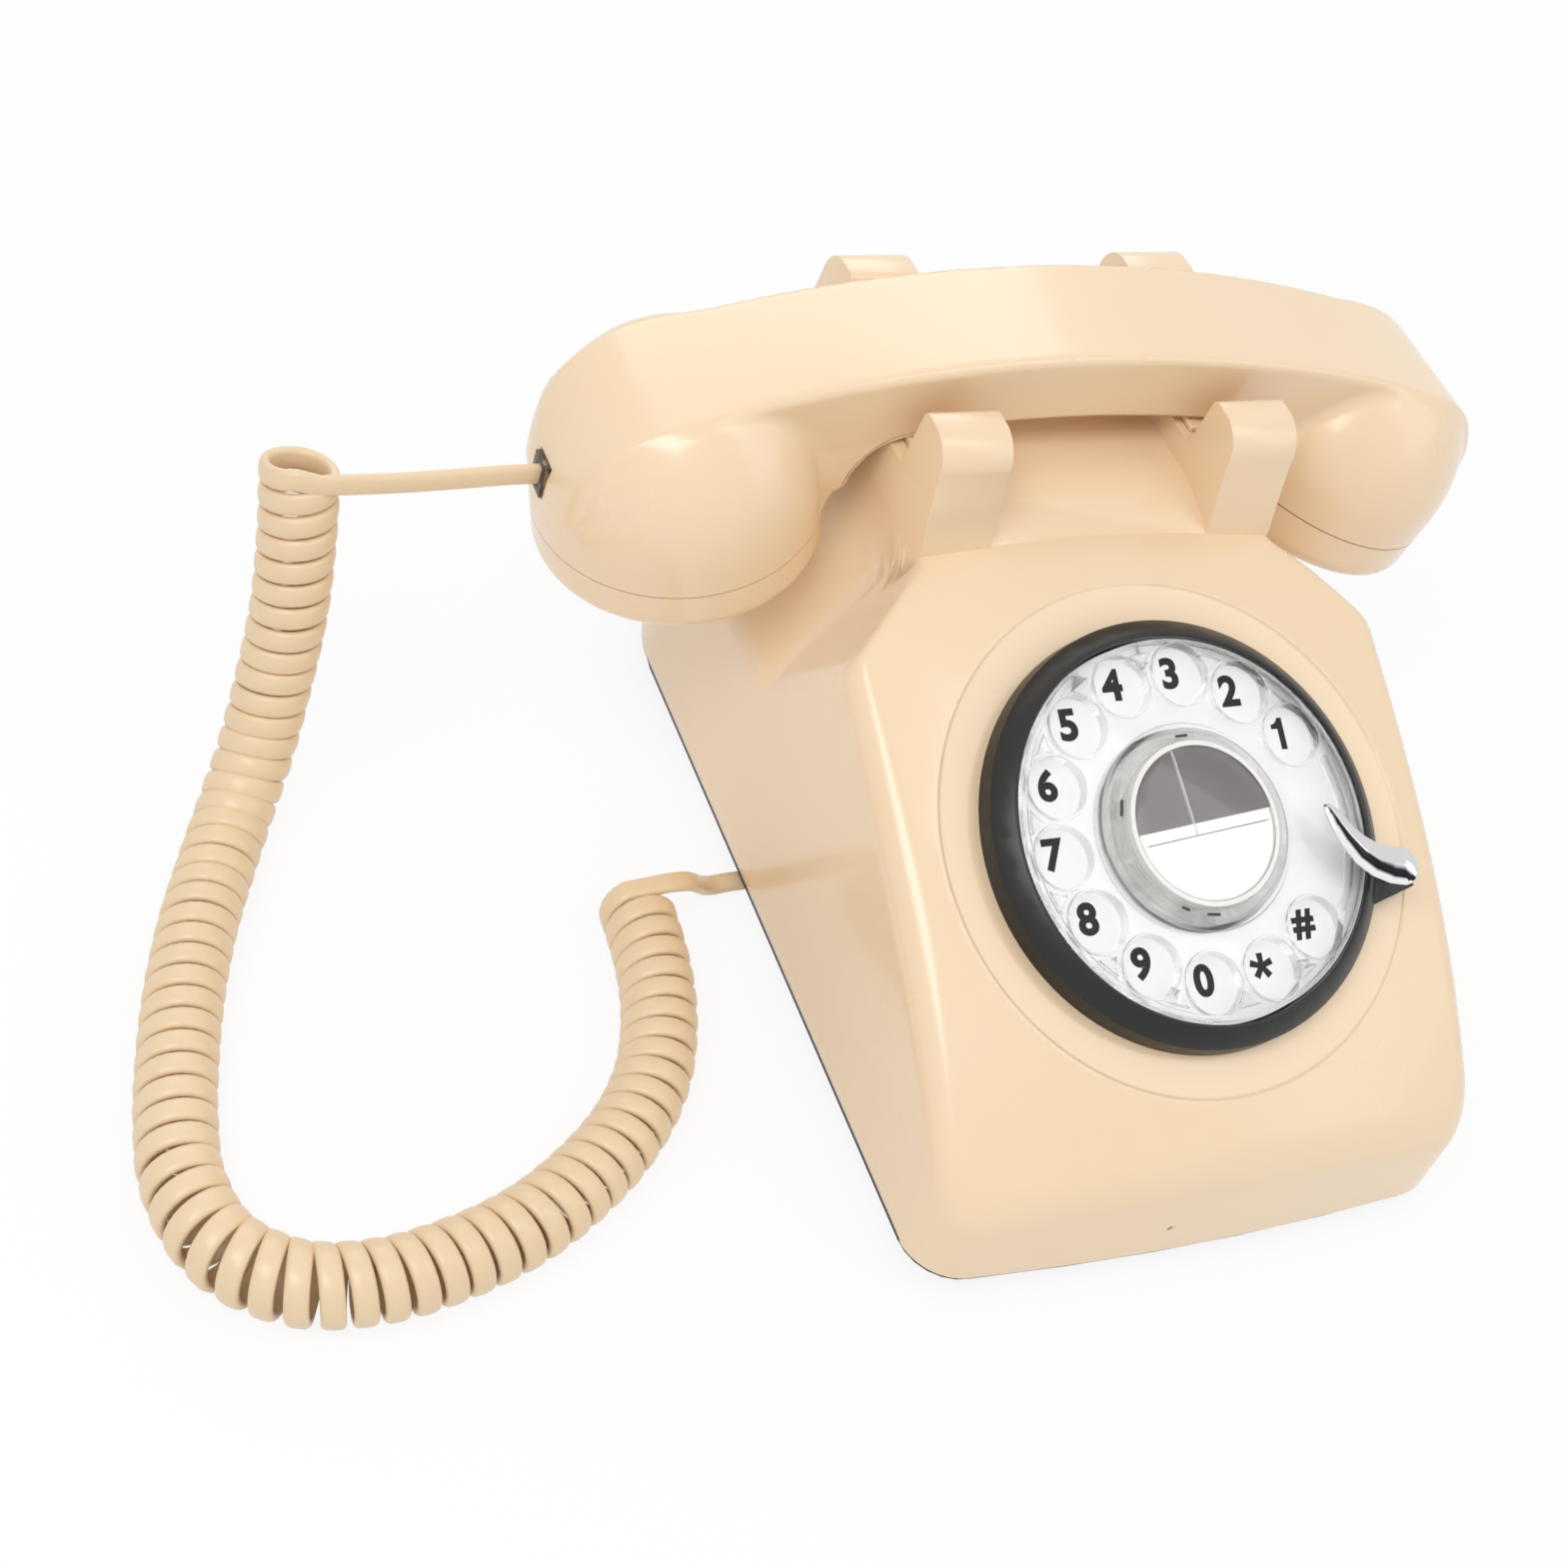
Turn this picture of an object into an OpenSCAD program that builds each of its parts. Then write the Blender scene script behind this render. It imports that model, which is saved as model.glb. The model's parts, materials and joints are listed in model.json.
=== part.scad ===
// Corded desk telephone with a round finger dial, a cradle of four prongs and a curly handset cord.
// Millimetres, +Z up. The origin is on the table under the middle of the body, front towards -Y.

/* [Body] */
// Width of the body
body_w = 127; // [115:1:150]
// Depth of the body from the front edge to the rear edge
body_d = 206; // [200:1:225]
// Height of the rubber feet
foot_h = 4; // [3:0.5:8]
// Thickness of the base plate
plate_t = 1.2; // [1:0.1:3]
// Wall thickness of the housing
wall = 2.6; // [2:0.1:3.5]
// Radius of the front corners in plan
front_corner_r = 12; // [6:1:20]
// Radius of the rear corners in plan
rear_corner_r = 34; // [15:1:40]
// How far the front edge bows out
front_bow = 2; // [0:0.5:5]
// How far the rear edge bows out
rear_bow = 1; // [0.4:0.1:3]
// Radius of the edge between the walls and the face
edge_r = 5; // [2:0.5:8]
// Radius of the crown of the sloping face
crown_r = 290; // [200:10:600]
// How far the rear wall leans forward at its top
rear_lean = 9; // [0:1:15]
// Highest level of the shell between the cradle prongs
tower_z = 90.4; // [88:0.1:92]

/* [Dial] */
// Slope of the face under the dial
dial_tilt = 26.6; // [22:0.2:30]
// Height of the dial's centre on the face
dial_z = 64.6; // [62:0.2:67]
// Distance of the dial's centre in front of the body's middle
dial_forward = 44.2; // [40:0.2:48]
// Radius of the shallow dish round the dial
dish_r = 53.2; // [50:0.2:56]
// Outer radius of the bezel
bezel_r = 44.5; // [43.5:0.1:47]
// Height of the bezel above the face
bezel_h = 7.2; // [7:0.1:10]
// Radius of the finger wheel
wheel_r = 39; // [38:0.1:39.2]
// Thickness of the finger wheel
wheel_t = 2.6; // [2:0.1:3]
// Number of finger holes
hole_count = 12; // [10:1:12]
// Diameter of a finger hole
hole_d = 12.4; // [10:0.1:13]
// Radius of the circle through the finger holes
hole_circle_r = 31.6; // [30:0.1:32]
// Angle between neighbouring finger holes
hole_step = 25.6; // [25:0.1:27]
// Angle of the first finger hole above the horizontal
first_hole = 31.7; // [28:0.1:36]
// Radius of the centre button
button_r = 16.9; // [14:0.1:17.2]
// Travel of the centre button
button_travel = 1.5; // [1:0.1:1.8]

/* [Dial train] */
// Tooth size of the dial gear and the damper pinion
tooth_module = 1.25; // [1:0.05:1.3]
// Teeth on the dial gear
gear_teeth = 36; // [32:1:38]
// Teeth on the damper pinion
pinion_teeth = 12; // [10:1:13]
// Radius of the hollow hub that carries the wheel
hub_r = 6; // [5:0.1:7]
// Radial running clearance of the turning parts
run_gap = 0.05; // [0.03:0.01:0.1]

/* [Cradle] */
// Inner face of a prong, measured from the middle
prong_in = 26; // [22:0.5:28]
// Outer face of a prong, measured from the middle
prong_out = 42; // [38:0.5:44]
// Distance of the handset's axis behind the body's middle
cradle_y = 51.4; // [50:0.2:53]
// Half the length of the cradle from prong foot to prong foot
cradle_half = 36.4; // [35:0.2:38]
// Rise of the prong tops above the shell between them
prong_rise = 23.1; // [20:0.1:27]
// Travel of the hook plungers
hook_travel = 4.5; // [3:0.1:4.5]

/* [Handset] */
// Rise of the top of the handle above the shell between the prongs
handle_rise = 30.3; // [28:0.1:34]
// Radius of the handle's arched top
arch_r = 300; // [280:5:340]
// Thickness of the handle at its middle
handle_t = 18.3; // [16:0.1:19]
// Half the width of the handle's top
handle_top_w = 15.9; // [14:0.1:16.5]
// Half the width of the handle's underside
handle_low_w = 13.2; // [12:0.1:14]
// Distance between the middles of the two cups
cup_span = 158.6; // [154:0.2:164]
// Radius of a cup at its seam
cup_r = 30.2; // [28:0.1:31]
// Depth of a cup's seam below the top of the handle
cup_drop = 45; // [43:0.1:46.5]
// Slope of a cup's seam
cup_tilt = 13.8; // [10:0.2:16]
// Depth of a cup's cap under its seam
cap_t = 10.5; // [7:0.1:11.5]
// Rise of a cup's dome above its seam
dome_h = 38.5; // [36:0.5:42]

/* [Cord] */
// Width of the flat cord
cord_w = 4.7; // [4:0.1:5]
// Thickness of the flat cord
cord_t = 2.3; // [1.8:0.1:2.6]
// Outer radius of the coiled cord
coil_r = 7.95; // [7:0.05:8]
// Number of curls
curls = 64; // [40:1:64]

/* [Hidden] */

cream = "antiquewhite";
gap = 0.3;
big = 400;
fine = 96;

// Levels and half sizes of the body.
shell_z = foot_h + plate_t;
half_w = body_w / 2;
front_y = -body_d / 2 + front_bow;
rear_y = body_d / 2;
prong_top = tower_z + prong_rise;
handle_top = tower_z + handle_rise;
cup_z = handle_top - cup_drop;
deck_t = 6;

// Plan outline: a bowed front edge, two front corners, straight sides and two round rear corners.
corner_steps = 6;
side_steps = 12;
spine_y = 38;

function arc(cx, cy, r, a, b, n) = [for (i = [0:n]) [cx + r * cos(a + (b - a) * i / n),
  cy + r * sin(a + (b - a) * i / n)]];
function lerp(a, b, t) = a + (b - a) * t;
function span(p, q, n) = [for (i = [1:n - 1]) lerp(p, q, i / n)];

// Right half of the outline from the middle of the front to the middle of the rear, drawn in by inset.
function half_outline(inset) = let (
  w = half_w - inset,
  f = front_y + inset,
  b = rear_y - inset,
  fr = max(front_corner_r - inset, 1),
  rr = max(rear_corner_r - inset, 1),
  bow_x = w - fr,
  c = b - rear_bow
) concat(
  [for (i = [0:5]) [bow_x * i / 5, f - front_bow * (1 - pow(i / 5, 2))]],
  [for (p = arc(w - fr, f + fr, fr, -90, 0, corner_steps)) if (p[1] > f + 0.01) p],
  span([w, f + fr], [w, c - rr], side_steps),
  arc(w - rr, c - rr, rr, 0, 90, corner_steps),
  [[(w - rr) / 2, b - rear_bow / 4], [0, b]]
);

function mirrored(half) = concat(half, [for (i = [len(half) - 2:-1:1]) [-half[i][0], half[i][1]]]);
function outline(inset) = mirrored(half_outline(inset));

// Height of the face at a point. The face is a tilted plane, crowned outside the dial's dish, and it
// levels off towards the cradle.
function slope_at(y) = (y + dial_forward) / cos(dial_tilt);
function crown_at(x, y) = let (
  u = slope_at(y),
  rho2 = x * x + u * u,
  fade = 1 - 0.45 * max(-1, min(1, u / 60))
) max(0, rho2 - dish_r * dish_r) / (2 * crown_r) * fade / cos(dial_tilt);
function face_plane(y) = dial_z + (y + dial_forward) * tan(dial_tilt);
function soft_min(a, b, k) = (a + b - sqrt(pow(a - b, 2) + k * k)) / 2;
function face_z(x, y) = soft_min(face_plane(y) - crown_at(x, y), tower_z - x * x / 900, 1.5);

// The rear wall leans forward as it rises.
function lean_at(z) = rear_lean * max(0, z - shell_z) / tower_z;
function leant(p, z) = [p[0], p[1] - lean_at(z) * pow(max(0, p[1] / rear_y), 2), z];

// Shell form: walls rise to the edge radius, follow it round and run in to a spine on the middle plane.
edge_steps = 5;
face_steps = [0.1, 0.22, 0.38, 0.56, 0.76, 0.97];

function spine_of(p) = [0, max(-spine_y * 1.6, min(spine_y, p[1] * 0.9))];
function wall_ring(inset, z_low) = [for (p = outline(inset)) leant(p, z_low)];
function edge_ring(inset, a) = let (
  r = max(edge_r - inset, 1),
  rim = outline(inset),
  drawn = outline(inset + r * (1 - cos(a)))
) [for (i = [0:len(rim) - 1])
  leant(drawn[i], face_z(drawn[i][0], drawn[i][1]) - inset * 1.1 - r * (1 - sin(a)))];
function face_ring(inset, t) = [for (p = outline(inset + max(edge_r - inset, 1))) let (
  q = lerp(p, spine_of(p), t)
) leant(q, face_z(q[0], q[1]) - inset * 1.1)];

function form_rings(inset, z_low) = concat(
  [wall_ring(inset, z_low)],
  [for (i = [0:edge_steps]) edge_ring(inset, 90 * i / edge_steps)],
  [for (t = face_steps) face_ring(inset, t)]
);

// Closes a stack of rings, each mirrored about the middle plane, into one solid.
module stacked(rings) {
  n = len(rings[0]);
  m = len(rings);
  points = [for (r = rings) for (p = r) p];
  sides = [for (k = [0:m - 2]) for (i = [0:n - 1]) let (
    a = k * n + i,
    b = k * n + (i + 1) % n,
    c = a + n,
    d = b + n
  ) each [[a, c, b], [b, c, d]]];
  ladder = [for (i = [1:n / 2 - 1]) let (l = n - i) each i == n / 2 - 1
    ? [[i, i + 1, l]]
    : [[i, i + 1, l], [i + 1, l - 1, l]]];
  nose = [[0, 1, n - 1]];
  low = concat(nose, ladder);
  top = [for (f = low) [f[0] + (m - 1) * n, f[2] + (m - 1) * n, f[1] + (m - 1) * n]];
  polyhedron(points, concat(sides, low, top), convexity = 8);
}

// Scoops beside the cradle, where the handset's cups hang over the body.
scoop_corner = [62.3, -4, 79];
scoop_lean = 63.2;
scoop_turn = 38.2;
scoop_profile = [[0, 60], [0, -9.8], [3, -20.4], [21.5, -42.9], [60, -89.7], [60, 60]];

module scoop(inset) {
  intersection() {
    translate([half_w + scoop_corner[0] - 63.5 - inset, scoop_corner[1] - inset / 2, scoop_corner[2]])
      rotate([0, scoop_lean, scoop_turn])
        translate([-big / 2, -big / 2, 0])
          cube([big, big, big / 2]);
    translate([prong_out - inset, big, tower_z - inset])
      rotate([90, 0, 0])
        linear_extrude(2 * big)
          polygon(scoop_profile);
  }
}

module body_form(inset, z_low) {
  difference() {
    stacked(form_rings(inset, z_low));
    for (s = [0, 1]) mirror([s, 0, 0]) scoop(inset);
  }
}

// Places children on the dial: x across, y up the slope, z out of the face.
module on_dial() {
  translate([0, -dial_forward, dial_z]) rotate([dial_tilt, 0, 0]) children();
}

// Turned shapes and rings.
module turned(profile) {
  rotate_extrude($fn = fine) polygon(profile);
}

module ring(r_in, r_out, h) {
  turned([[r_in, 0], [r_out, 0], [r_out, h], [r_in, h]]);
}

module disc(r, h) {
  cylinder(r = r, h = h, $fn = fine);
}

module slab(x, y, z) {
  translate([-x / 2, -y / 2, 0]) cube([x, y, z]);
}

// Levels of the dial stack above the face.
dish_depth = 1;
carrier_top = 2.4;
carrier_flange = 1.6;
plate_level = carrier_top;
number_plate_t = 1;
flange_low = carrier_top + 0.4;
flange_top = 4.8;
wheel_level = flange_top;
wheel_top = wheel_level + wheel_t;
hub_low = -12;
gear_low = -10;
gear_t = 3.5;
board_low = -18;
board_t = 1.6;
board_top = board_low + board_t;
well_r = bezel_r - 2.5;
carrier_r = wheel_r + 0.6;
flange_r = 19.5;
plate_hole_r = flange_r + 1.3;
stem_r = 3;
dial_post_r = 33;

// Finger stop: the tip lies over the wheel and the rounded end stands on the bezel's lug.
stop_level = wheel_top + 3.6;
stop_t = 1.3;
lug_h = 4.2;
lug_turn = 14.6;
lug_at = [43.6, -14.3];
lug_size = [11, 8.4];
lug_post_r = 1.6;
lug_post_at = [45, -13.8];

// Housing posts for the base screws.
screw_r = 1.5;
screw_head_r = 3;
post_r = 4;
front_post = [half_w - 13.5, front_y + 23];
rear_post = [half_w - 17.5, rear_y - 29];

// Places a copy of the children at each screw post.
module at_posts() {
  for (p = [front_post, rear_post]) for (s = [-1, 1]) translate([s * p[0], p[1], 0]) children();
}

// Handset arch: the axis runs along Y below the table.
arch_z = handle_top - arch_r;
arch_low_r = arch_r - handle_t;

module arch_disc(r, half) {
  translate([0, cradle_y, arch_z]) rotate([90, 0, 0]) translate([0, 0, -half])
    cylinder(r = r, h = 2 * half, $fn = 360);
}

// Cradle: prongs fore and aft with a saddle between them, as one side profile.
plunger_in = 28.3;
plunger_w = 10.4;
plunger_half = 15;
saddle_drop = 1.5;
deck_z = 94.1;

function both_ways(side) = concat(
  side, [for (i = [len(side) - 1:-1:0]) [2 * cradle_y - side[i][0], side[i][1]]]);
prong_foot = cradle_y - cradle_half;
prong_side = concat(
  [[prong_foot, tower_z - deck_t], [prong_foot, tower_z - 1.6], [prong_foot + 2.6, prong_top - 13]],
  [for (p = arc(prong_foot + 11, prong_top - 7.5, 7.5, 180, 100, 6)) p],
  [for (p = arc(prong_foot + 14, prong_top - 2, 2, 90, 10, 3)) p],
  [[prong_foot + 17.5, prong_top - 12.5], [prong_foot + 18.5, prong_top - 12.5]]
);
deck_side = [[prong_foot - 1, tower_z - deck_t], [prong_foot - 1, tower_z - 2.4],
  [prong_foot + 1, tower_z - 0.4],
  [prong_foot + 12.6, deck_z - 0.5], [prong_foot + 20, deck_z - 0.3], [prong_foot + 28, deck_z]];
prong_draft = 2;

module cradle_side() {
  difference() {
    translate([prong_in, 0, 0])
      rotate([90, 0, 90])
        linear_extrude(prong_out - prong_in)
          polygon(both_ways(prong_side));
    translate([prong_out, cradle_y - big / 2, tower_z - 1]) rotate([0, -prong_draft, 0]) cube([20, big, 60]);
    difference() {
      arch_disc(arch_r, plunger_half + 3.5);
      arch_disc(arch_low_r - saddle_drop, plunger_half + 4);
    }
  }
}

module plunger_space(clear, low) {
  translate([plunger_in - clear, cradle_y - plunger_half - clear, low])
    cube([plunger_w + 2 * clear, 2 * (plunger_half + clear), prong_top - low]);
}

// Sockets in the base: one for the line at the rear, one for the handset cord at the left.
line_x = 22;
line_w = 14.5;
line_h = 13;
line_depth = 12;
line_mouth = [9.8, 7];
socket_y = 5.4;
socket_w = 11;
socket_h = 10;
socket_x = -44;
socket_depth = 12;
plug_w = 7.6;
plug_h = 6.6;
plug_len = 12;
plug_z = shell_z + 4.6;
pocket_half = 8;
pocket_x = -half_w + wall + 1.1;
pocket_wall = 0.8;
pocket_top = 14.5;

// Ringer switch in the rear wall.
knob_x = -22;
knob_z = 22;
knob_travel = 4;
switch_y = rear_y - wall - rear_bow - lean_at(knob_z + 4);

// Hook parts inside the cradle.
bar_top = tower_z - deck_t - hook_travel - gap;
bar_t = 4;
spring_h = 14;
bracket_top = bar_top - bar_t - spring_h;
bracket_t = 3;
hook_x = 30;
bracket_post = [22, 18];

module housing() {
  color(cream) difference() {
    union() {
      difference() {
        body_form(0, shell_z);
        body_form(wall, shell_z - 1);
      }
      intersection() {
        body_form(wall / 2, shell_z);
        union() {
          at_posts() translate([0, 0, shell_z]) disc(post_r, tower_z);
          for (s = [-1, 1])
            translate([s * bracket_post[0], cradle_y - bracket_post[1], bracket_top]) disc(post_r, tower_z);
          at_voice() translate([0, 0, -wall - 1 - voice_t]) disc(voice_r + 1.6, wall + 1 + voice_t);
        }
      }
      for (s = [0, 1]) mirror([s, 0, 0]) cradle_side();
      translate([-prong_in, 0, 0]) rotate([90, 0, 90])
        linear_extrude(2 * prong_in) polygon(both_ways(deck_side));
    }
    on_dial() turned([[0, -dish_depth], [bezel_r + 0.2, -dish_depth], [dish_r, 0], [dish_r, 9], [0, 9]]);
    on_dial() translate([0, 0, -20]) disc(well_r, 30);
    for (s = [0, 1]) mirror([s, 0, 0]) plunger_space(gap, bar_top - 6);
    at_posts() translate([0, 0, shell_z - 1]) cylinder(r = screw_r, h = 12, $fn = 24);
    translate([line_x, rear_y - 8, shell_z - 1]) slab(line_w + 2 * gap, 30, 1 + line_h + gap);
    translate([knob_x, rear_y, knob_z - 2.3]) slab(knob_travel + 7, 20, 4.6);
    at_voice() translate([0, 0, -wall - 2 - voice_t]) disc(voice_r + 0.1, voice_t + 1);
    at_voice() translate([0, 0, -wall - 5]) cylinder(r = 0.7, h = wall + 10, $fn = 24);
  }
}

// Small microphone behind a hole in the front wall, for talking without the handset.
voice_at = [-10.4, 13.5];
voice_r = 3;
voice_t = 2.5;

module at_voice() {
  translate([voice_at[0], front_y - front_bow, voice_at[1]]) rotate([90, 0, 0]) children();
}

module hands_free_microphone() {
  color([0.3, 0.3, 0.3]) at_voice() translate([0, 0, -wall - 1 - voice_t]) disc(voice_r, voice_t);
}

module pocket(clear) {
  translate([pocket_x - clear, socket_y - pocket_half - clear, foot_h])
    cube([socket_x - pocket_x + clear, 2 * (pocket_half + clear), pocket_top - foot_h + clear]);
}

board_x = [-36, 36];
board_y = [rear_y - 89, rear_y - 19];
board_z = shell_z + 5;
board_t_main = 1.6;
boss_r = 3;
board_holes = [for (y = [board_y[0] + 6, board_y[1] - 6]) for (x = [board_x[0] + 5, board_x[1] - 5]) [x, y]];
speaker_at = [0, front_y + 35];
speaker_r = 20;
speaker_t = 12;
rim_in = wall + 2 * gap;

module base_plate() {
  color([0.1, 0.1, 0.1]) difference() {
    union() {
      translate([0, 0, foot_h]) linear_extrude(plate_t) polygon(outline(0.5));
      translate([0, 0, foot_h]) linear_extrude(plate_t + 3) difference() {
        polygon(outline(rim_in));
        polygon(outline(rim_in + 1.5));
      }
      pocket(pocket_wall);
      for (h = board_holes) translate([h[0], h[1], foot_h]) disc(boss_r, board_z - foot_h);
      translate([speaker_at[0], speaker_at[1], foot_h]) ring(speaker_r + gap, speaker_r + 2, plate_t + 5);
    }
    translate([0, 0, -1]) pocket(0);
    at_posts() translate([0, 0, foot_h - 1]) cylinder(r = screw_r + 0.3, h = 10, $fn = 24);
    at_posts() translate([0, 0, foot_h + plate_t]) disc(post_r + gap, 10);
    translate([line_x, rear_y - line_depth, foot_h + plate_t]) slab(line_w + 1, 2 * line_depth, 20);
    for (h = board_holes) translate([h[0], h[1], foot_h + plate_t]) cylinder(r = 1.1, h = 10, $fn = 24);
    for (i = [0:6]) for (j = [0:6]) if (norm([i - 3, j - 3]) < 3.2)
      translate([speaker_at[0] + (i - 3) * 4, speaker_at[1] + (j - 3) * 4, foot_h - 1])
        cylinder(r = 1, h = 5, $fn = 16);
  }
}

foot_at = [[half_w - 14.5, front_y + 39], [half_w - 17.5, rear_y - 43]];
foot_r = 7;

module rubber_feet() {
  color([0.2, 0.2, 0.2]) for (p = foot_at) for (s = [-1, 1]) translate([s * p[0], p[1], 0])
    turned([[0, 0], [foot_r - 0.8, 0], [foot_r, 0.8], [foot_r, foot_h], [0, foot_h]]);
}

module base_screws() {
  color("silver") at_posts() {
    translate([0, 0, foot_h - 1.6]) disc(screw_head_r, 1.6);
    translate([0, 0, foot_h]) cylinder(r = screw_r, h = 10, $fn = 24);
  }
}

module lug_outline(extra) {
  translate([lug_at[0], lug_at[1], 0]) rotate([0, 0, lug_turn])
    slab(lug_size[0] + extra, lug_size[1] + extra, lug_h);
}

module dial_bezel() {
  color([0.16, 0.16, 0.15]) on_dial() {
    difference() {
      union() {
        turned([[wheel_r + 0.8, 0], [carrier_r + 2, 0], [carrier_r + 2, -dish_depth], [bezel_r, -dish_depth],
          [bezel_r - 0.3, bezel_h * 0.5], [bezel_r - 1, bezel_h * 0.62], [wheel_r + 1.8, bezel_h - 0.2],
          [wheel_r + 1.2, bezel_h], [wheel_r + 0.8, bezel_h - 0.2]]);
        difference() {
          lug_outline(0);
          disc(bezel_r - 1.5, 20);
        }
      }
      translate([0, 0, carrier_top]) disc(wheel_r + 0.6, 20);
    }
  }
}

module dial_posts(r, low, high) {
  for (a = [90, 210, 330]) rotate([0, 0, a + 20]) translate([dial_post_r, 0, low])
    cylinder(r = r, h = high - low, $fn = 32);
}

module dial_carrier() {
  color("dimgray") on_dial() difference() {
    union() {
      disc(carrier_r, carrier_top);
      translate([0, 0, -carrier_flange]) disc(carrier_r + 1.8, carrier_flange);
      translate([0, 0, gear_low + gear_t + 0.6]) disc(hub_r + 3, -gear_low - gear_t - 0.6);
      dial_posts(3, board_top, 0);
    }
    translate([0, 0, gear_low]) disc(hub_r + run_gap, 30);
    translate([0, 0, -carrier_flange - 1.2]) ring(hub_r + 3.3, 17, 2.4);
  }
}

module number_plate() {
  color("whitesmoke") on_dial() translate([0, 0, plate_level])
    ring(plate_hole_r, wheel_r + 0.4, number_plate_t);
}

module wheel_hub() {
  color("ivory") on_dial() difference() {
    union() {
      translate([0, 0, hub_low]) disc(hub_r, flange_low - hub_low);
      translate([0, 0, flange_low]) disc(flange_r, flange_top - flange_low);
    }
    translate([0, 0, hub_low - 1]) disc(stem_r + run_gap, 30);
  }
}

// The finger wheel is a web between a boss and a rim, with a finger hole for each number.
web_t = wheel_t - 0.6;
rim_w = 1;
wheel_boss_r = button_r + 4.6;

module at_holes() {
  for (i = [0:hole_count - 1]) rotate([0, 0, first_hole + i * hole_step]) translate([hole_circle_r, 0, 0])
    children();
}

module finger_wheel() {
  color([0.85, 0.88, 0.9, 0.4]) on_dial() translate([0, 0, wheel_level]) difference() {
    turned([[button_r + gap, 0], [wheel_r, 0], [wheel_r, wheel_t - 0.3], [wheel_r - 0.3, wheel_t],
      [wheel_r - rim_w, wheel_t], [wheel_r - rim_w, web_t], [wheel_boss_r, web_t],
      [wheel_boss_r - 0.4, wheel_t], [button_r + gap, wheel_t]]);
    at_holes() translate([0, 0, -1]) cylinder(d = hole_d, h = wheel_t + 2, $fn = 48);
  }
}

ring_t = 1.6;

module centre_ring() {
  color([0.1, 0.1, 0.1]) on_dial() translate([0, 0, wheel_top])
    turned([[button_r + gap, 0], [button_r + 3.3, 0], [button_r + 3.1, ring_t * 0.6],
      [button_r + 2.3, ring_t],
      [button_r + gap + 0.3, ring_t], [button_r + gap, ring_t - 0.3]]);
}

// Spur gear with straight flanks, cut a little thin so that it runs freely.
function gear_points(teeth, turn) = let (
  r = tooth_module * teeth / 2,
  top = r + 0.7 * tooth_module,
  root = r - 0.9 * tooth_module,
  step = 360 / teeth
) [for (i = [0:teeth - 1]) let (a = i * step + turn) each [
  [root * cos(a - 0.29 * step), root * sin(a - 0.29 * step)],
  [top * cos(a - 0.11 * step), top * sin(a - 0.11 * step)],
  [top * cos(a + 0.11 * step), top * sin(a + 0.11 * step)],
  [root * cos(a + 0.29 * step), root * sin(a + 0.29 * step)]
]];
mesh_distance = tooth_module * (gear_teeth + pinion_teeth) / 2;
mesh_turn = 200;

module dial_gear() {
  color("ivory") on_dial() translate([0, 0, gear_low]) difference() {
    rotate([0, 0, mesh_turn]) linear_extrude(gear_t) polygon(gear_points(gear_teeth, 0));
    translate([0, 0, -1]) disc(hub_r, gear_t + 2);
    for (i = [0:5]) rotate([0, 0, i * 60]) translate([13.5, 0, -1]) disc(3.5, gear_t + 2);
  }
}

module at_damper() {
  rotate([0, 0, mesh_turn]) translate([mesh_distance, 0, 0]) children();
}

damper_r = 7;

module damper_pinion() {
  color("ivory") on_dial() at_damper() {
    translate([0, 0, gear_low]) linear_extrude(gear_t)
      polygon(gear_points(pinion_teeth, 180 / pinion_teeth + 180));
    translate([0, 0, gear_low - 4]) disc(2, 4);
  }
}

module damper_housing() {
  color("dimgray") on_dial() at_damper() difference() {
    translate([0, 0, board_top]) disc(damper_r, gear_low - board_top - 0.4);
    translate([0, 0, gear_low - 4.4]) disc(2 + run_gap, 10);
  }
}

button_rise = 2.6;
card_level = wheel_top + button_rise - 0.8;
card_t = 0.5;

module centre_button() {
  color([0.9, 0.9, 0.88]) on_dial() {
    difference() {
      translate([0, 0, wheel_top]) disc(button_r, button_rise);
      translate([0, 0, card_level]) disc(button_r - 1, 2);
    }
    translate([0, 0, hub_low - 0.6]) disc(stem_r, wheel_top - hub_low + 0.6);
  }
}

module button_card() {
  color("gainsboro") on_dial() translate([0, 0, card_level]) disc(button_r - 1, card_t);
}

module button_lens() {
  color([0.9, 0.92, 0.95, 0.35]) on_dial() translate([0, 0, card_level + card_t])
    turned([[0, 0], [button_r - 1, 0], [button_r - 1, 0.5], [button_r - 2.2, 1.3], [0, 1.5]]);
}

// A round wire wound into an open spring, as one unbroken tube.
module wire_spring(r, wire, h, turns, seats) {
  per_turn = 16;
  sides = 6;
  n = turns * per_turn;
  function spring_z(i) = wire + (h - 2 * wire) * max(0, min(1, (i - seats) / (n - 2 * seats)));
  points = [for (i = [0:n]) for (j = [0:sides - 1]) let (
    a = i * 360 / per_turn,
    b = j * 360 / sides,
    q = r + wire * cos(b)
  ) [q * cos(a), q * sin(a), spring_z(i) + wire * sin(b)]];
  faces = concat(
    [for (i = [0:n - 1]) for (j = [0:sides - 1]) let (
      p = i * sides + j,
      q = i * sides + (j + 1) % sides
    ) each [[p, q, p + sides], [q, q + sides, p + sides]]],
    [for (j = [1:sides - 2]) [0, j + 1, j]],
    [for (j = [1:sides - 2]) [n * sides, n * sides + j, n * sides + j + 1]]
  );
  polyhedron(points, faces, convexity = 8);
}

module button_spring() {
  color("silver") on_dial() translate([0, 0, flange_top]) wire_spring(5, 0.3, wheel_t, 3, 0);
}

module dial_return_spring() {
  color("silver") on_dial() translate([0, 0, -carrier_flange - 1.2 + 0.02]) wire_spring(13, 0.3, 2.3, 2, 0);
}

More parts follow.
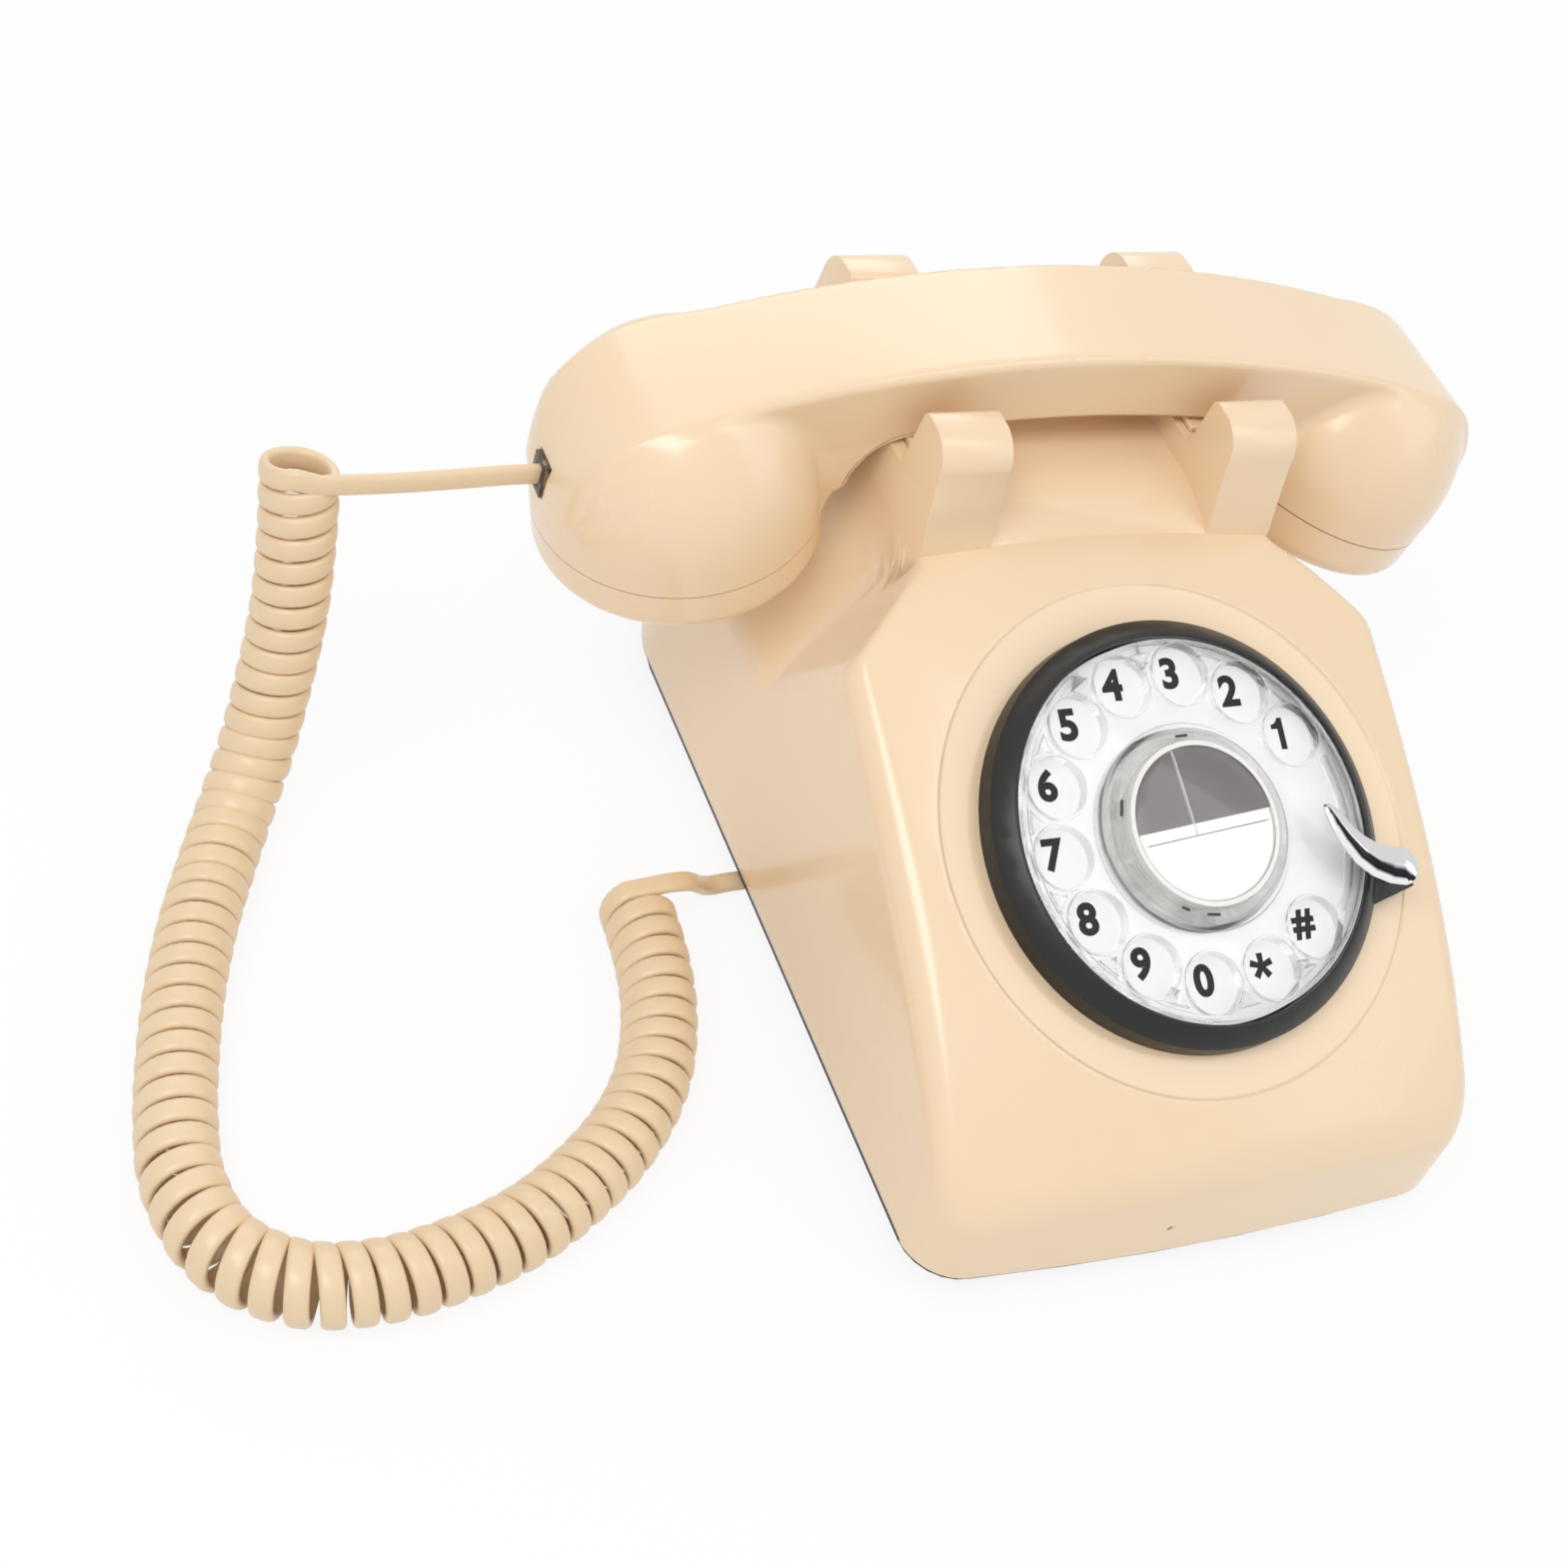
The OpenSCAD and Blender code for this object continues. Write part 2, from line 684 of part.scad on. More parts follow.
module finger_stop() {
  color("lightgray") on_dial() {
    translate([0, 0, stop_level]) linear_extrude(stop_t) polygon(concat(
      [[27.2, 0.2], [27.9, -2], [29, -4.6], [30.3, -7.9], [32.4, -12], [35.2, -14.8], [39, -17]],
      arc(42.8, -13.8, 4, -110, 85, 10),
      [[38.2, -9.2], [34.6, -7.6], [32, -4.8], [30.2, -1.5], [28.7, -0.1]]
    ));
    translate([lug_post_at[0], lug_post_at[1], lug_h]) disc(lug_post_r, stop_level - lug_h);
  }
}

module dial_board() {
  color("darkgreen") on_dial() translate([0, 0, board_low]) difference() {
    disc(38, board_t);
    translate([0, 0, -1]) dial_posts(1.2, 0, board_t + 2);
  }
}

module button_switch() {
  color([0.15, 0.15, 0.15]) on_dial() translate([0, 0, board_top])
    slab(6, 6, hub_low - 0.7 - button_travel - board_top);
}

module main_board() {
  color("darkgreen") translate([0, 0, board_z]) difference() {
    translate([board_x[0], board_y[0], 0])
      cube([board_x[1] - board_x[0], board_y[1] - board_y[0], board_t_main]);
    for (h = board_holes) translate([h[0], h[1], -1]) cylinder(r = 1.2, h = 5, $fn = 24);
  }
}

module board_screws() {
  color("silver") for (h = board_holes) translate([h[0], h[1], 0]) {
    translate([0, 0, foot_h + plate_t + 0.5])
      cylinder(r = 1.1, h = board_z + board_t_main - foot_h - plate_t - 0.5, $fn = 24);
    translate([0, 0, board_z + board_t_main]) disc(2.2, 1.4);
  }
}

module loudspeaker() {
  color([0.3, 0.3, 0.3]) translate([speaker_at[0], speaker_at[1], shell_z])
    turned([[0, 0.6], [speaker_r * 0.8, 0.6], [speaker_r * 0.85, 0], [speaker_r, 0], [speaker_r, 2.4],
      [speaker_r * 0.6, 5],
      [speaker_r * 0.55, speaker_t], [0, speaker_t]]);
}

module line_socket() {
  color([0.12, 0.12, 0.12]) translate([line_x, rear_y - lean_at(line_h) - 0.6, shell_z]) difference() {
    translate([-line_w / 2, -line_depth, 0]) cube([line_w, line_depth, line_h]);
    translate([-line_mouth[0] / 2, -line_depth + 1.5, 4.4]) cube([line_mouth[0], line_depth, line_mouth[1]]);
    translate([-2, -line_depth + 1.5, 2.2]) cube([4, line_depth, 3]);
  }
}

module base_cord_socket() {
  color([0.12, 0.12, 0.12]) translate([socket_x, socket_y, shell_z]) difference() {
    translate([0, -socket_w / 2, 0]) cube([socket_depth, socket_w, socket_h]);
    translate([-1, -plug_w / 2 - 0.15, plug_z - shell_z - plug_h / 2 - 0.15])
      cube([socket_depth - 2, plug_w + gap, plug_h + gap]);
  }
}

module plug_body(len) {
  translate([0, -plug_h / 2, -plug_w / 2]) cube([len, plug_h, plug_w]);
}

module base_plug() {
  color([0.9, 0.9, 0.92, 0.5]) translate([socket_x - 6, socket_y, plug_z]) rotate([90, 0, 0]) difference() {
    plug_body(plug_len);
    translate([-1, -cord_t / 2 - 0.1, -cord_w / 2 - 0.1]) cube([3, cord_t + 0.2, cord_w + 0.2]);
  }
}

module ringer_switch() {
  color([0.2, 0.2, 0.2]) translate([knob_x, switch_y, knob_z]) difference() {
    translate([-8, -7, -4]) cube([16, 7, 8]);
    translate([-knob_travel / 2 - 2.6, -2.3, -1.6]) cube([knob_travel + 5.2, 5, 3.2]);
  }
}

module ringer_knob() {
  color([0.1, 0.1, 0.1]) translate([knob_x - knob_travel / 2 - 2.3, switch_y - 2, knob_z - 1.3])
    cube([4.6, rear_y - switch_y + 1.9, 2.6]);
}

module hook_plungers() {
  color(cream) for (s = [0, 1]) mirror([s, 0, 0]) difference() {
    plunger_space(0, bar_top);
    difference() {
      arch_disc(arch_r + 20, plunger_half + 5);
      arch_disc(arch_low_r - gap, plunger_half + 6);
    }
  }
}

module hook_bar() {
  color("dimgray") translate([0, cradle_y, bar_top - bar_t]) slab(2 * (plunger_in + plunger_w), 12, bar_t);
}

module hook_springs() {
  color("silver") for (s = [-1, 1]) translate([s * hook_x, cradle_y, bracket_top])
    wire_spring(4, 0.5, spring_h, 5, 0);
}

module hook_bracket() {
  color("lightgray") difference() {
    union() {
      translate([0, cradle_y, bracket_top - bracket_t]) slab(72, 20, bracket_t);
      translate([0, cradle_y - bracket_post[1] / 2 - 3, bracket_top - bracket_t])
        slab(2 * bracket_post[0] + 10, bracket_post[1] + 3, bracket_t);
    }
    for (s = [-1, 1]) translate([s * bracket_post[0], cradle_y - bracket_post[1], bracket_top - 10])
      cylinder(r = 1.5, h = 20, $fn = 24);
  }
}

module hook_switch() {
  color([0.15, 0.15, 0.15]) translate([0, cradle_y, bracket_top]) {
    slab(20, 7, 10);
    translate([5, 0, 10]) slab(3, 3, spring_h - 10 - gap);
  }
}

// Handset. Cups stand on seams that rise towards the middle; the handle is a swept trapezoid.
cup_dome = [for (i = [0:9]) let (a = i * 10) [(cup_r + 0.1) * cos(a), 5 + (dome_h - 5) * sin(a)]];
fillet_r = 14;
seam_t = 1.2;
cover_in = 2;
capsule_r = 20;
capsule_t = 10;
mic_r = 9;
mic_t = 8;
tip_x = 110.5;

module at_cup(s) {
  translate([s * cup_span / 2, cradle_y, cup_z]) rotate([0, s * cup_tilt, 0]) children();
}

module handle_sweep(r_low, r_top, half_low, half_top, angle) {
  translate([0, cradle_y, arch_z]) rotate([90, 0, 0]) rotate([0, 0, 90 - angle])
    rotate_extrude(angle = 2 * angle, $fn = 360) polygon([[r_low, -half_low], [r_low, half_low],
      [r_top - 3, half_top], [r_top - 0.9, half_top - 0.8], [r_top, half_top - 3],
      [r_top, 3 - half_top], [r_top - 0.9, 0.8 - half_top], [r_top - 3, -half_top]]);
}

// Webs that round the corner between the handle's underside and the cups.
web_x = cup_span / 2 - cup_r - fillet_r;
web_z = arch_z + sqrt(pow(arch_low_r, 2) - pow(web_x, 2)) - fillet_r;

module web(r_clear) {
  translate([0, cradle_y, 0]) rotate([90, 0, 0]) translate([0, 0, -handle_low_w])
    linear_extrude(2 * handle_low_w) difference() {
    polygon([[web_x, web_z], [web_x + 28, web_z], [web_x + 28, web_z + 24], [web_x, web_z + 18]]);
    translate([web_x, web_z]) circle(r = r_clear, $fn = 64);
  }
}

// Side outline of the handset: it rolls over at each end, from the arch down to the tip.
end_x = tip_x - 13;
end_z = arch_z + sqrt(pow(arch_r, 2) - pow(end_x, 2));
end_side = [[0, 0], [tip_x, 0], [tip_x, end_z - 22], [tip_x - 0.3, end_z - 16.4], [tip_x - 1.7, end_z - 10.8],
  [tip_x - 4.5, end_z - 6.4], [tip_x - 8.5, end_z - 2.6], [end_x, end_z], [end_x, 200], [0, 200]];

module handset_envelope() {
  intersection() {
    arch_disc(arch_r, 40);
    for (s = [0, 1]) mirror([s, 0, 0]) translate([0, cradle_y + 50, 0]) rotate([90, 0, 0]) linear_extrude(100)
      polygon(end_side);
  }
}

module handset_solid() {
  intersection() {
    union() {
      handle_sweep(arch_low_r, arch_r, handle_low_w, handle_top_w, 21.8);
      for (s = [-1, 1]) at_cup(s) turned(concat([[0, 0], [cup_r, 0]], cup_dome));
      for (s = [0, 1]) mirror([s, 0, 0]) web(fillet_r);
    }
    handset_envelope();
  }
}

// Everything that belongs to the cover: the caps and a thin strip under the handle.
module cover_zone() {
  difference() {
    union() {
      arch_disc(arch_low_r + seam_t, 60);
      for (s = [0, 1]) mirror([s, 0, 0]) web(fillet_r);
    }
    for (s = [0, 1]) mirror([s, 0, 0]) difference() {
      translate([web_x, cradle_y - 60, 0]) cube([80, 120, 150]);
      translate([web_x, cradle_y + 60, web_z]) rotate([90, 0, 0])
        cylinder(r = fillet_r + seam_t, h = 120, $fn = 64);
    }
    for (s = [0, 1]) mirror([s, 0, 0]) translate([web_x, cradle_y - 60, 0]) cube([80, 120, web_z]);
  }
}

module handset_plug_space(clear) {
  translate([-tip_x - 4, cradle_y - plug_h / 2 - clear, cord_exit_z - plug_w / 2 - clear])
    cube([18, plug_h + 2 * clear, plug_w + 2 * clear]);
}
cord_exit_z = 82;
socket_wall = 1.2;

module socket_block(clear) {
  translate([-tip_x + 3 - clear, cradle_y - plug_h / 2 - socket_wall - clear,
    cord_exit_z - plug_w / 2 - socket_wall - clear])
    cube([14 + 2 * clear, plug_h + 2 * (socket_wall + clear), plug_w + 2 * (socket_wall + clear)]);
}

weight_size = [60, 12, 5];

module handset_shell() {
  color(cream) difference() {
    handset_solid();
    cover_zone();
    at_cup(1) translate([0, 0, -1]) disc(capsule_r + gap, capsule_t + 1 + gap);
    at_cup(-1) translate([0, 0, -1]) disc(mic_r + gap, mic_t + 1 + gap);
    handset_plug_space(0.25);
    socket_block(0.1);
    translate([0, cradle_y, handle_top - handle_t + seam_t - 3])
      slab(weight_size[0] + 1, weight_size[1] + 1, weight_size[2] + 3.3);
  }
}

module cup_screw(s, low) {
  at_cup(s) translate([s * -15, 0, -low]) disc(1.4, low - cap_t + 4.5);
}

module cap(s) {
  difference() {
    at_cup(s) turned([[0, -cap_t + 1.5], [cup_r - 8, -cap_t + 1.2], [cup_r - 5, -cap_t],
      [cup_r - 3.2, -cap_t],
      [cup_r - 1.7, -cap_t + 1.2], [cup_r, -0.2], [cup_r, 0], [0, 0]]);
    at_cup(s) for (i = [0:6]) rotate([0, 0, i * 60]) translate([i == 6 ? 0 : 6, 0, -cap_t - 1])
      cylinder(r = 1.1, h = 20, $fn = 20);
    cup_screw(s, cap_t);
  }
}

module handset_cover() {
  color(cream) union() {
    difference() {
      intersection() {
        handset_solid();
        cover_zone();
      }
      for (s = [-1, 1]) at_cup(s) disc(cup_r + 5, 60);
      translate([0, cradle_y, handle_top - handle_t + seam_t])
        slab(weight_size[0] + 1, weight_size[1] + 1, 8);
    }
    for (s = [-1, 1]) cap(s);
  }
}

module handset_screws() {
  color("silver") for (s = [-1, 1]) cup_screw(s, cap_t - 1.5);
}

module handset_weight() {
  color("gray") difference() {
    translate([0, cradle_y, handle_top - handle_t + seam_t])
      slab(weight_size[0], weight_size[1], weight_size[2]);
    arch_disc(arch_low_r + seam_t, 60);
  }
}

module receiver_capsule() {
  color([0.25, 0.25, 0.25]) at_cup(1)
    turned([[0, 0], [capsule_r, 0], [capsule_r, 4], [capsule_r * 0.6, 5], [capsule_r * 0.55, capsule_t],
      [0, capsule_t]]);
}

module microphone_capsule() {
  color([0.25, 0.25, 0.25]) at_cup(-1) disc(mic_r, mic_t);
}

module handset_socket() {
  color([0.12, 0.12, 0.12]) difference() {
    socket_block(0);
    handset_plug_space(0.15);
  }
}

plug_tail_x = -tip_x - 0.5;

module handset_plug() {
  color([0.9, 0.9, 0.92, 0.5]) translate([plug_tail_x, cradle_y, cord_exit_z]) difference() {
    plug_body(plug_len);
    translate([-1, -cord_t / 2 - 0.1, -cord_w / 2 - 0.1]) cube([3, cord_t + 0.2, cord_w + 0.2]);
  }
}

// Cord routes, chosen by hand. The coil's axis hangs from the lead's height to the table, runs
// forward, bends round and comes back beside the body.
coil_path = [
  [-157.5, 58.1, 81.6], [-157, 54.5, 66], [-157.5, 50.5, 50], [-159.5, 46.5, 35], [-163, 40.5, 20.5],
    [-168.5, 31.5, 11],
  [-175, 19, 8.2], [-181.5, 5, 8], [-187, -9.5, 8], [-191.5, -24.5, 8], [-195, -39.5, 8], [-196.5, -54, 8],
  [-192.5, -68.5, 8], [-181, -78, 8], [-166, -80.5, 8], [-150.5, -78.5, 8], [-136, -74, 8],
  [-122.5, -66.5, 8], [-110.5, -57, 8], [-101, -45, 8], [-95, -31, 8], [-92, -17, 8], [-91, -3, 8]
];
axis_r = coil_r - cord_t / 2;
lead_y = coil_path[0][1] - axis_r;
coil_end = coil_path[len(coil_path) - 1];
lead_route = [
  [plug_tail_x + 1.5, cradle_y, cord_exit_z], [-117, cradle_y, cord_exit_z], [-127, cradle_y, 81.6],
  [-137, cradle_y, 81.3], [-147, lead_y, 81.4], [coil_path[0][0] + 5.2, lead_y, coil_path[0][2]]
];
base_route = [
  [coil_end[0] + 5, coil_end[1], coil_end[2] + axis_r], [-83.5, -3, 14.8], [-79.8, -2, 13.2], [-76.4, 0, 9.6],
  [-73.4, 2.4, 5.6], [-69.6, 4.4, 2.6], [-65, 5.3, 1.8], [-60.6, 5.4, 1.9], [-57.6, 5.4, 3.8],
  [-55.6, 5.4, 6.8], [-53.4, 5.4, 9.2], [-50.8, 5.4, plug_z], [socket_x - 4.5, 5.4, plug_z]
];

function unit(v) = v / norm(v);
function at_path(p, t) = let (
  n = len(p) - 1,
  u = max(0, min(n - 0.0001, t * n)),
  i = floor(u),
  f = u - i,
  a = p[max(i - 1, 0)],
  b = p[i],
  c = p[i + 1],
  d = p[min(i + 2, n)]
) 0.5 * (2 * b + (c - a) * f + (2 * a - 5 * b + 4 * c - d) * f * f + (3 * b - a - 3 * c + d) * f * f * f);
function along(p, t) = t <= 0 ? unit(p[1] - p[0]) : t >= 1 ? unit(p[len(p) - 1] - p[len(p) - 2])
  : unit(at_path(p, min(1, t + 0.002)) - at_path(p, max(0, t - 0.002)));

// Lengths along a path at its points, and the place at an even share of its length.
function piece_length(p, i, k = 0) = k == 8 ? 0 : let (n = len(p) - 1)
  norm(at_path(p, (i + (k + 1) / 8) / n) - at_path(p, (i + k / 8) / n)) + piece_length(p, i, k + 1);
function lengths(p) = [for (i = 0, l = 0; i < len(p); l = l + (i < len(p) - 1 ? piece_length(p, i) : 0),
  i = i + 1) l];
function piece_at(c, l, i = 0) = i >= len(c) - 2 || c[i + 1] > l ? i : piece_at(c, l, i + 1);
function even(c, s) = let (
  l = s * c[len(c) - 1],
  i = piece_at(c, l)
) (i + (l - c[i]) / (c[i + 1] - c[i])) / (len(c) - 1);

// A ring of the flat cord: centre, direction of travel, direction of its width, scale and sides.
function cord_ring(c, dir, wide, sides, w, t) = let (
  a = unit(wide - dir * (wide * dir)),
  b = cross(dir, a)
) [for (j = [0:sides - 1]) let (g = (j + 0.5) * 360 / sides)
  c + a * (w / 2) * cos(g) / cos(180 / sides) + b * (t / 2) * sin(g)];

module tube(rings) {
  s = len(rings[0]);
  n = len(rings);
  points = [for (r = rings) for (p = r) p];
  sides = [for (i = [0:n - 2]) for (j = [0:s - 1]) let (
    p = i * s + j,
    q = i * s + (j + 1) % s
  ) each [[p, p + s, q], [q, p + s, q + s]]];
  ends = concat([for (j = [1:s - 2]) [0, j, j + 1]],
    [for (j = [1:s - 2]) [(n - 1) * s, (n - 1) * s + j + 1, (n - 1) * s + j]]);
  polyhedron(points, concat(sides, ends), convexity = 10);
}

module lead(route, wide, rings) {
  tube([for (i = [0:rings]) let (t = i / rings)
    cord_ring(at_path(route, t), along(route, t), wide, 8, cord_w, cord_t)]);
}

module handset_lead() {
  color(cream) lead(lead_route, [0, 0, 1], 14);
}

module base_lead() {
  color(cream) lead(base_route, [0, 1, 0], 26);
}

// The curly stretch: one helix round the coil's axis. The turn is measured from a direction that
// stays level, so that the first curl starts at the front and the last ends on top.
curl_rings = 8;
coil_w = 2.8;
function coil_frame(t) = let (
  d = along(coil_path, t),
  down = [0, 0, -1],
  hint = t < 0.3 ? lerp([0, -1, 0], [0, 0, 1], max(0, (t - 0.08) / 0.22)) : [0, 0, 1],
  e = unit(hint - d * (hint * d))
) [d, e, cross(d, e)];
coil_lengths = lengths(coil_path);
function coil_point(s) = let (
  t = even(coil_lengths, s),
  f = coil_frame(t),
  a = s * 360 * curls
) at_path(coil_path, t) + axis_r * (f[1] * cos(a) + f[2] * sin(a));
coil_count = curls * curl_rings;
coil_points = [for (i = [0:coil_count]) coil_point(i / coil_count)];

module curly_cord() {
  gaps = [for (i = [0:coil_count]) for (j = [i + 6:coil_count]) norm(coil_points[i] - coil_points[j])];
  echo(str("least gap of the curly cord to itself: ", min(gaps) - coil_w, " mm"));
  first = coil_points[0];
  last = coil_points[coil_count];
  dir_a = [-1, 0, 0];
  dir_b = [1, 0, 0];
  color(cream) tube(concat(
    [for (k = [1, 0.5]) cord_ring(first - dir_a * 5 * k, dir_a, [0, 0, 1], 6, coil_w, cord_t)],
    [for (i = [1:coil_count - 1]) let (
      f = coil_frame(even(coil_lengths, i / coil_count))
    ) cord_ring(coil_points[i], unit(coil_points[i + 1] - coil_points[i - 1]), f[0], 6, coil_w, cord_t)],
    [for (k = [0.5, 1]) cord_ring(last + dir_b * 5 * k, dir_b, [0, 1, 0], 6, coil_w, cord_t)]
  ));
}

housing();
base_plate();
rubber_feet();
base_screws();
dial_bezel();
dial_carrier();
number_plate();
wheel_hub();
finger_wheel();
centre_ring();
dial_gear();
centre_button();
button_card();
button_lens();
button_spring();
finger_stop();
dial_board();
button_switch();
damper_housing();
damper_pinion();
dial_return_spring();
main_board();
board_screws();
loudspeaker();
hands_free_microphone();
line_socket();
base_cord_socket();
ringer_switch();
ringer_knob();
hook_plungers();
hook_bar();
hook_springs();
hook_bracket();
hook_switch();
handset_shell();
handset_cover();
handset_screws();
handset_weight();
receiver_capsule();
microphone_capsule();
handset_socket();
handset_plug();
handset_lead();
curly_cord();
base_lead();
base_plug();
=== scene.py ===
# %% [markdown]
# # A corded desk telephone
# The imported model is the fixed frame: it says where every part is and which part moves with which.
# Here the shells, the cord and the finishes are made round it. All places are in metres.

# %% Load the frame
import json
import math

import bmesh
import bpy
import numpy as np
from mathutils import Matrix, Vector


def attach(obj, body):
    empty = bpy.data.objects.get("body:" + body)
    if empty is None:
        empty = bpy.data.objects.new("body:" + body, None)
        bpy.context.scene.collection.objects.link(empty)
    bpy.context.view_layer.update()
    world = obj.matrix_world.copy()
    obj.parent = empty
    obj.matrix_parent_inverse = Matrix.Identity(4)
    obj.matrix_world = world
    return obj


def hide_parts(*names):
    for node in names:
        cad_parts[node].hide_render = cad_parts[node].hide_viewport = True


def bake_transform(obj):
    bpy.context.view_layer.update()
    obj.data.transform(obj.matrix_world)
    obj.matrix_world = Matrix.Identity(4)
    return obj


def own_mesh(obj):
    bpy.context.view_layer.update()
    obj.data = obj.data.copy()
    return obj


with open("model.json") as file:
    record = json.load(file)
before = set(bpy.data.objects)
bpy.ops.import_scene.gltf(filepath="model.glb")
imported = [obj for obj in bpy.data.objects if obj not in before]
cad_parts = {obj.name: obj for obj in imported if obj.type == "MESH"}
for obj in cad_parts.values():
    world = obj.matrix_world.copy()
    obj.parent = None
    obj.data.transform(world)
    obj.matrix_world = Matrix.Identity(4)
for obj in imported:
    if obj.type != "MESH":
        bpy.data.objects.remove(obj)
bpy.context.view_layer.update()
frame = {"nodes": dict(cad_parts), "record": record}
NODES = frame["nodes"]
MM = 0.001


# %% [markdown]
# ## Camera
# A long lens looks down on the dial from the front left, and the camera is rolled a little.
# Its three directions are written as rows: right, down and forward.

# %% Camera
LENS, SENSOR, FAR_PLANE = 60.54, 36, 20
RIGHT = Vector((0.9060, -0.3398, 0.2524))
DOWN = Vector((-0.0928, -0.7413, -0.6647))
AHEAD = Vector((0.4130, 0.5788, -0.7032))
EYE = Vector((-0.28924, -0.31552, 0.42301))

camera = bpy.data.objects.new("camera", bpy.data.cameras.new("camera"))
bpy.context.scene.collection.objects.link(camera)
camera.data.lens = LENS
camera.data.sensor_width = SENSOR
camera.data.clip_end = FAR_PLANE
turn = Matrix((RIGHT, -DOWN, -AHEAD)).transposed()
camera.matrix_world = Matrix.Translation(EYE) @ turn.to_quaternion().to_matrix().to_4x4()
bpy.context.scene.camera = camera
print("camera lens", LENS, "mm")

# %% [markdown]
# ## Small helpers
# A material is a short chain of nodes. One function adds a node with its settings and links, and
# one turns a colour that is written as on a web page into the linear colour that the shader needs.


# %% Helpers for colours and nodes
def srgb(code):
    channels = [int(code[i:i + 2], 16) / 255 for i in (1, 3, 5)]
    linear = [c / 12.92 if c <= 0.04045 else ((c + 0.055) / 1.055) ** 2.4 for c in channels]
    return (*linear, 1.0)


def add(tree, kind, values=None, links=None, **settings):
    node = tree.nodes.new(kind)
    for name, value in settings.items():
        setattr(node, name, value)
    for name, value in (values or {}).items():
        node.inputs[name].default_value = value
    for name, output in (links or {}).items():
        tree.links.new(output, node.inputs[name])
    return node


def new_material(name, **settings):
    material = bpy.data.materials.new(name)
    material.use_nodes = True
    tree = material.node_tree
    tree.nodes.clear()
    shader = add(tree, "ShaderNodeBsdfPrincipled", settings)
    add(tree, "ShaderNodeOutputMaterial", links={"Surface": shader.outputs[0]})
    return material, tree, shader


def dress(piece, material):
    piece.data.materials.clear()
    piece.data.materials.append(material)


def show(mesh_or_bmesh, name, smooth_angle=None):
    mesh = mesh_or_bmesh
    if isinstance(mesh, bmesh.types.BMesh):
        mesh = bpy.data.meshes.new(name)
        mesh_or_bmesh.to_mesh(mesh)
        mesh_or_bmesh.free()
    piece = bpy.data.objects.new(name, mesh)
    bpy.context.scene.collection.objects.link(piece)
    if smooth_angle is not None:
        mesh.shade_smooth()
        mesh.set_sharp_from_angle(angle=math.radians(smooth_angle))
    return piece


def stand_for(piece, body, slot, *nodes):
    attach(piece, body)
    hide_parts(*nodes)
    print(piece.name, "faces", len(piece.data.polygons))


# %% [markdown]
# ## The cord
# A flat cord leaves the plug in the handset, winds into one long curl, hangs to the table, lies
# there in a wide bend and comes back to the base. Its route is a handful of points. A smooth line
# runs through them, the curl is wound round that line, and the flat section is carried along it.

# %% Route of the cord
CORD_W, CORD_T = 0.0047, 0.0023
COIL_R, CURLS, PER_CURL = 0.0068, 64, 24
LEAN_FROM, LEAN_RUN = 0.08, 0.22
COIL_PATH = np.array([
    (-157.5, 58.1, 81.6), (-157, 54.5, 66), (-157.5, 50.5, 50), (-159.5, 46.5, 35),
    (-163, 40.5, 20.5), (-168.5, 31.5, 11), (-175, 19, 8.2), (-181.5, 5, 8), (-187, -9.5, 8),
    (-191.5, -24.5, 8),
    (-195, -39.5, 8), (-196.5, -54, 8), (-192.5, -68.5, 8), (-181, -78, 8), (-166, -80.5, 8),
    (-150.5, -78.5, 8), (-136, -74, 8), (-122.5, -66.5, 8), (-110.5, -57, 8), (-101, -45, 8),
    (-95, -31, 8), (-92, -17, 8), (-91, -3, 8)]) * MM
LEAD = np.array([
    (-109.5, 51.4, 82), (-117, 51.4, 82), (-127, 51.4, 81.6), (-137, 51.4, 81.3),
    (-147, 51.3, 81.4), (-152.3, 51.3, 81.6), (-157.4, 51.3, 81.6)]) * MM
TAIL = np.array([
    (-86, -3, 14.8), (-83.5, -3, 14.8), (-79.8, -2, 13.2), (-76.4, 0, 9.6), (-73.4, 2.4, 5.6),
    (-69.6, 4.4, 2.6), (-65, 5.3, 1.8), (-60.6, 5.4, 1.9), (-57.6, 5.4, 3.8), (-55.6, 5.4, 6.8),
    (-53.4, 5.4, 9.2), (-50.8, 5.4, 9.8), (-48.5, 5.4, 9.8)]) * MM


def smooth_line(points, count):
    """Evenly spaced points on the smooth line through the given ones."""
    n = len(points) - 1
    dense = []
    for i in range(n):
        a, b, c, d = points[max(i - 1, 0)], points[i], points[i + 1], points[min(i + 2, n)]
        for f in np.linspace(0, 1, 40, endpoint=False):
            dense.append(0.5 * (2 * b + (c - a) * f + (2 * a - 5 * b + 4 * c - d) * f ** 2
                                + (3 * b - a - 3 * c + d) * f ** 3))
    dense = np.array(dense + [points[-1]])
    run = np.concatenate([[0], np.cumsum(np.linalg.norm(np.diff(dense, axis=0), axis=1))])
    at = np.linspace(0, run[-1], count)
    return np.column_stack([np.interp(at, run, dense[:, k]) for k in range(3)])


def normed(v):
    return v / np.linalg.norm(v, axis=-1, keepdims=True)


def directions(line):
    return normed(np.gradient(line, axis=0))


def wound(line_points):
    """The curl: its turn starts at the front and ends on top, as the cord comes and goes."""
    steps = CURLS * PER_CURL
    line = smooth_line(line_points, steps + 1)
    ahead = directions(line)
    share = np.linspace(0, 1, steps + 1)
    lean = np.clip((share - LEAN_FROM) / LEAN_RUN, 0, 1)[:, None]
    hint = (1 - lean) * np.array([0, -1, 0]) + lean * np.array([0, 0, 1])
    out = normed(hint - ahead * np.sum(hint * ahead, axis=1)[:, None])
    side = np.cross(ahead, out)
    turns = share[:, None] * 2 * np.pi * CURLS
    return line + COIL_R * (out * np.cos(turns) + side * np.sin(turns)), ahead


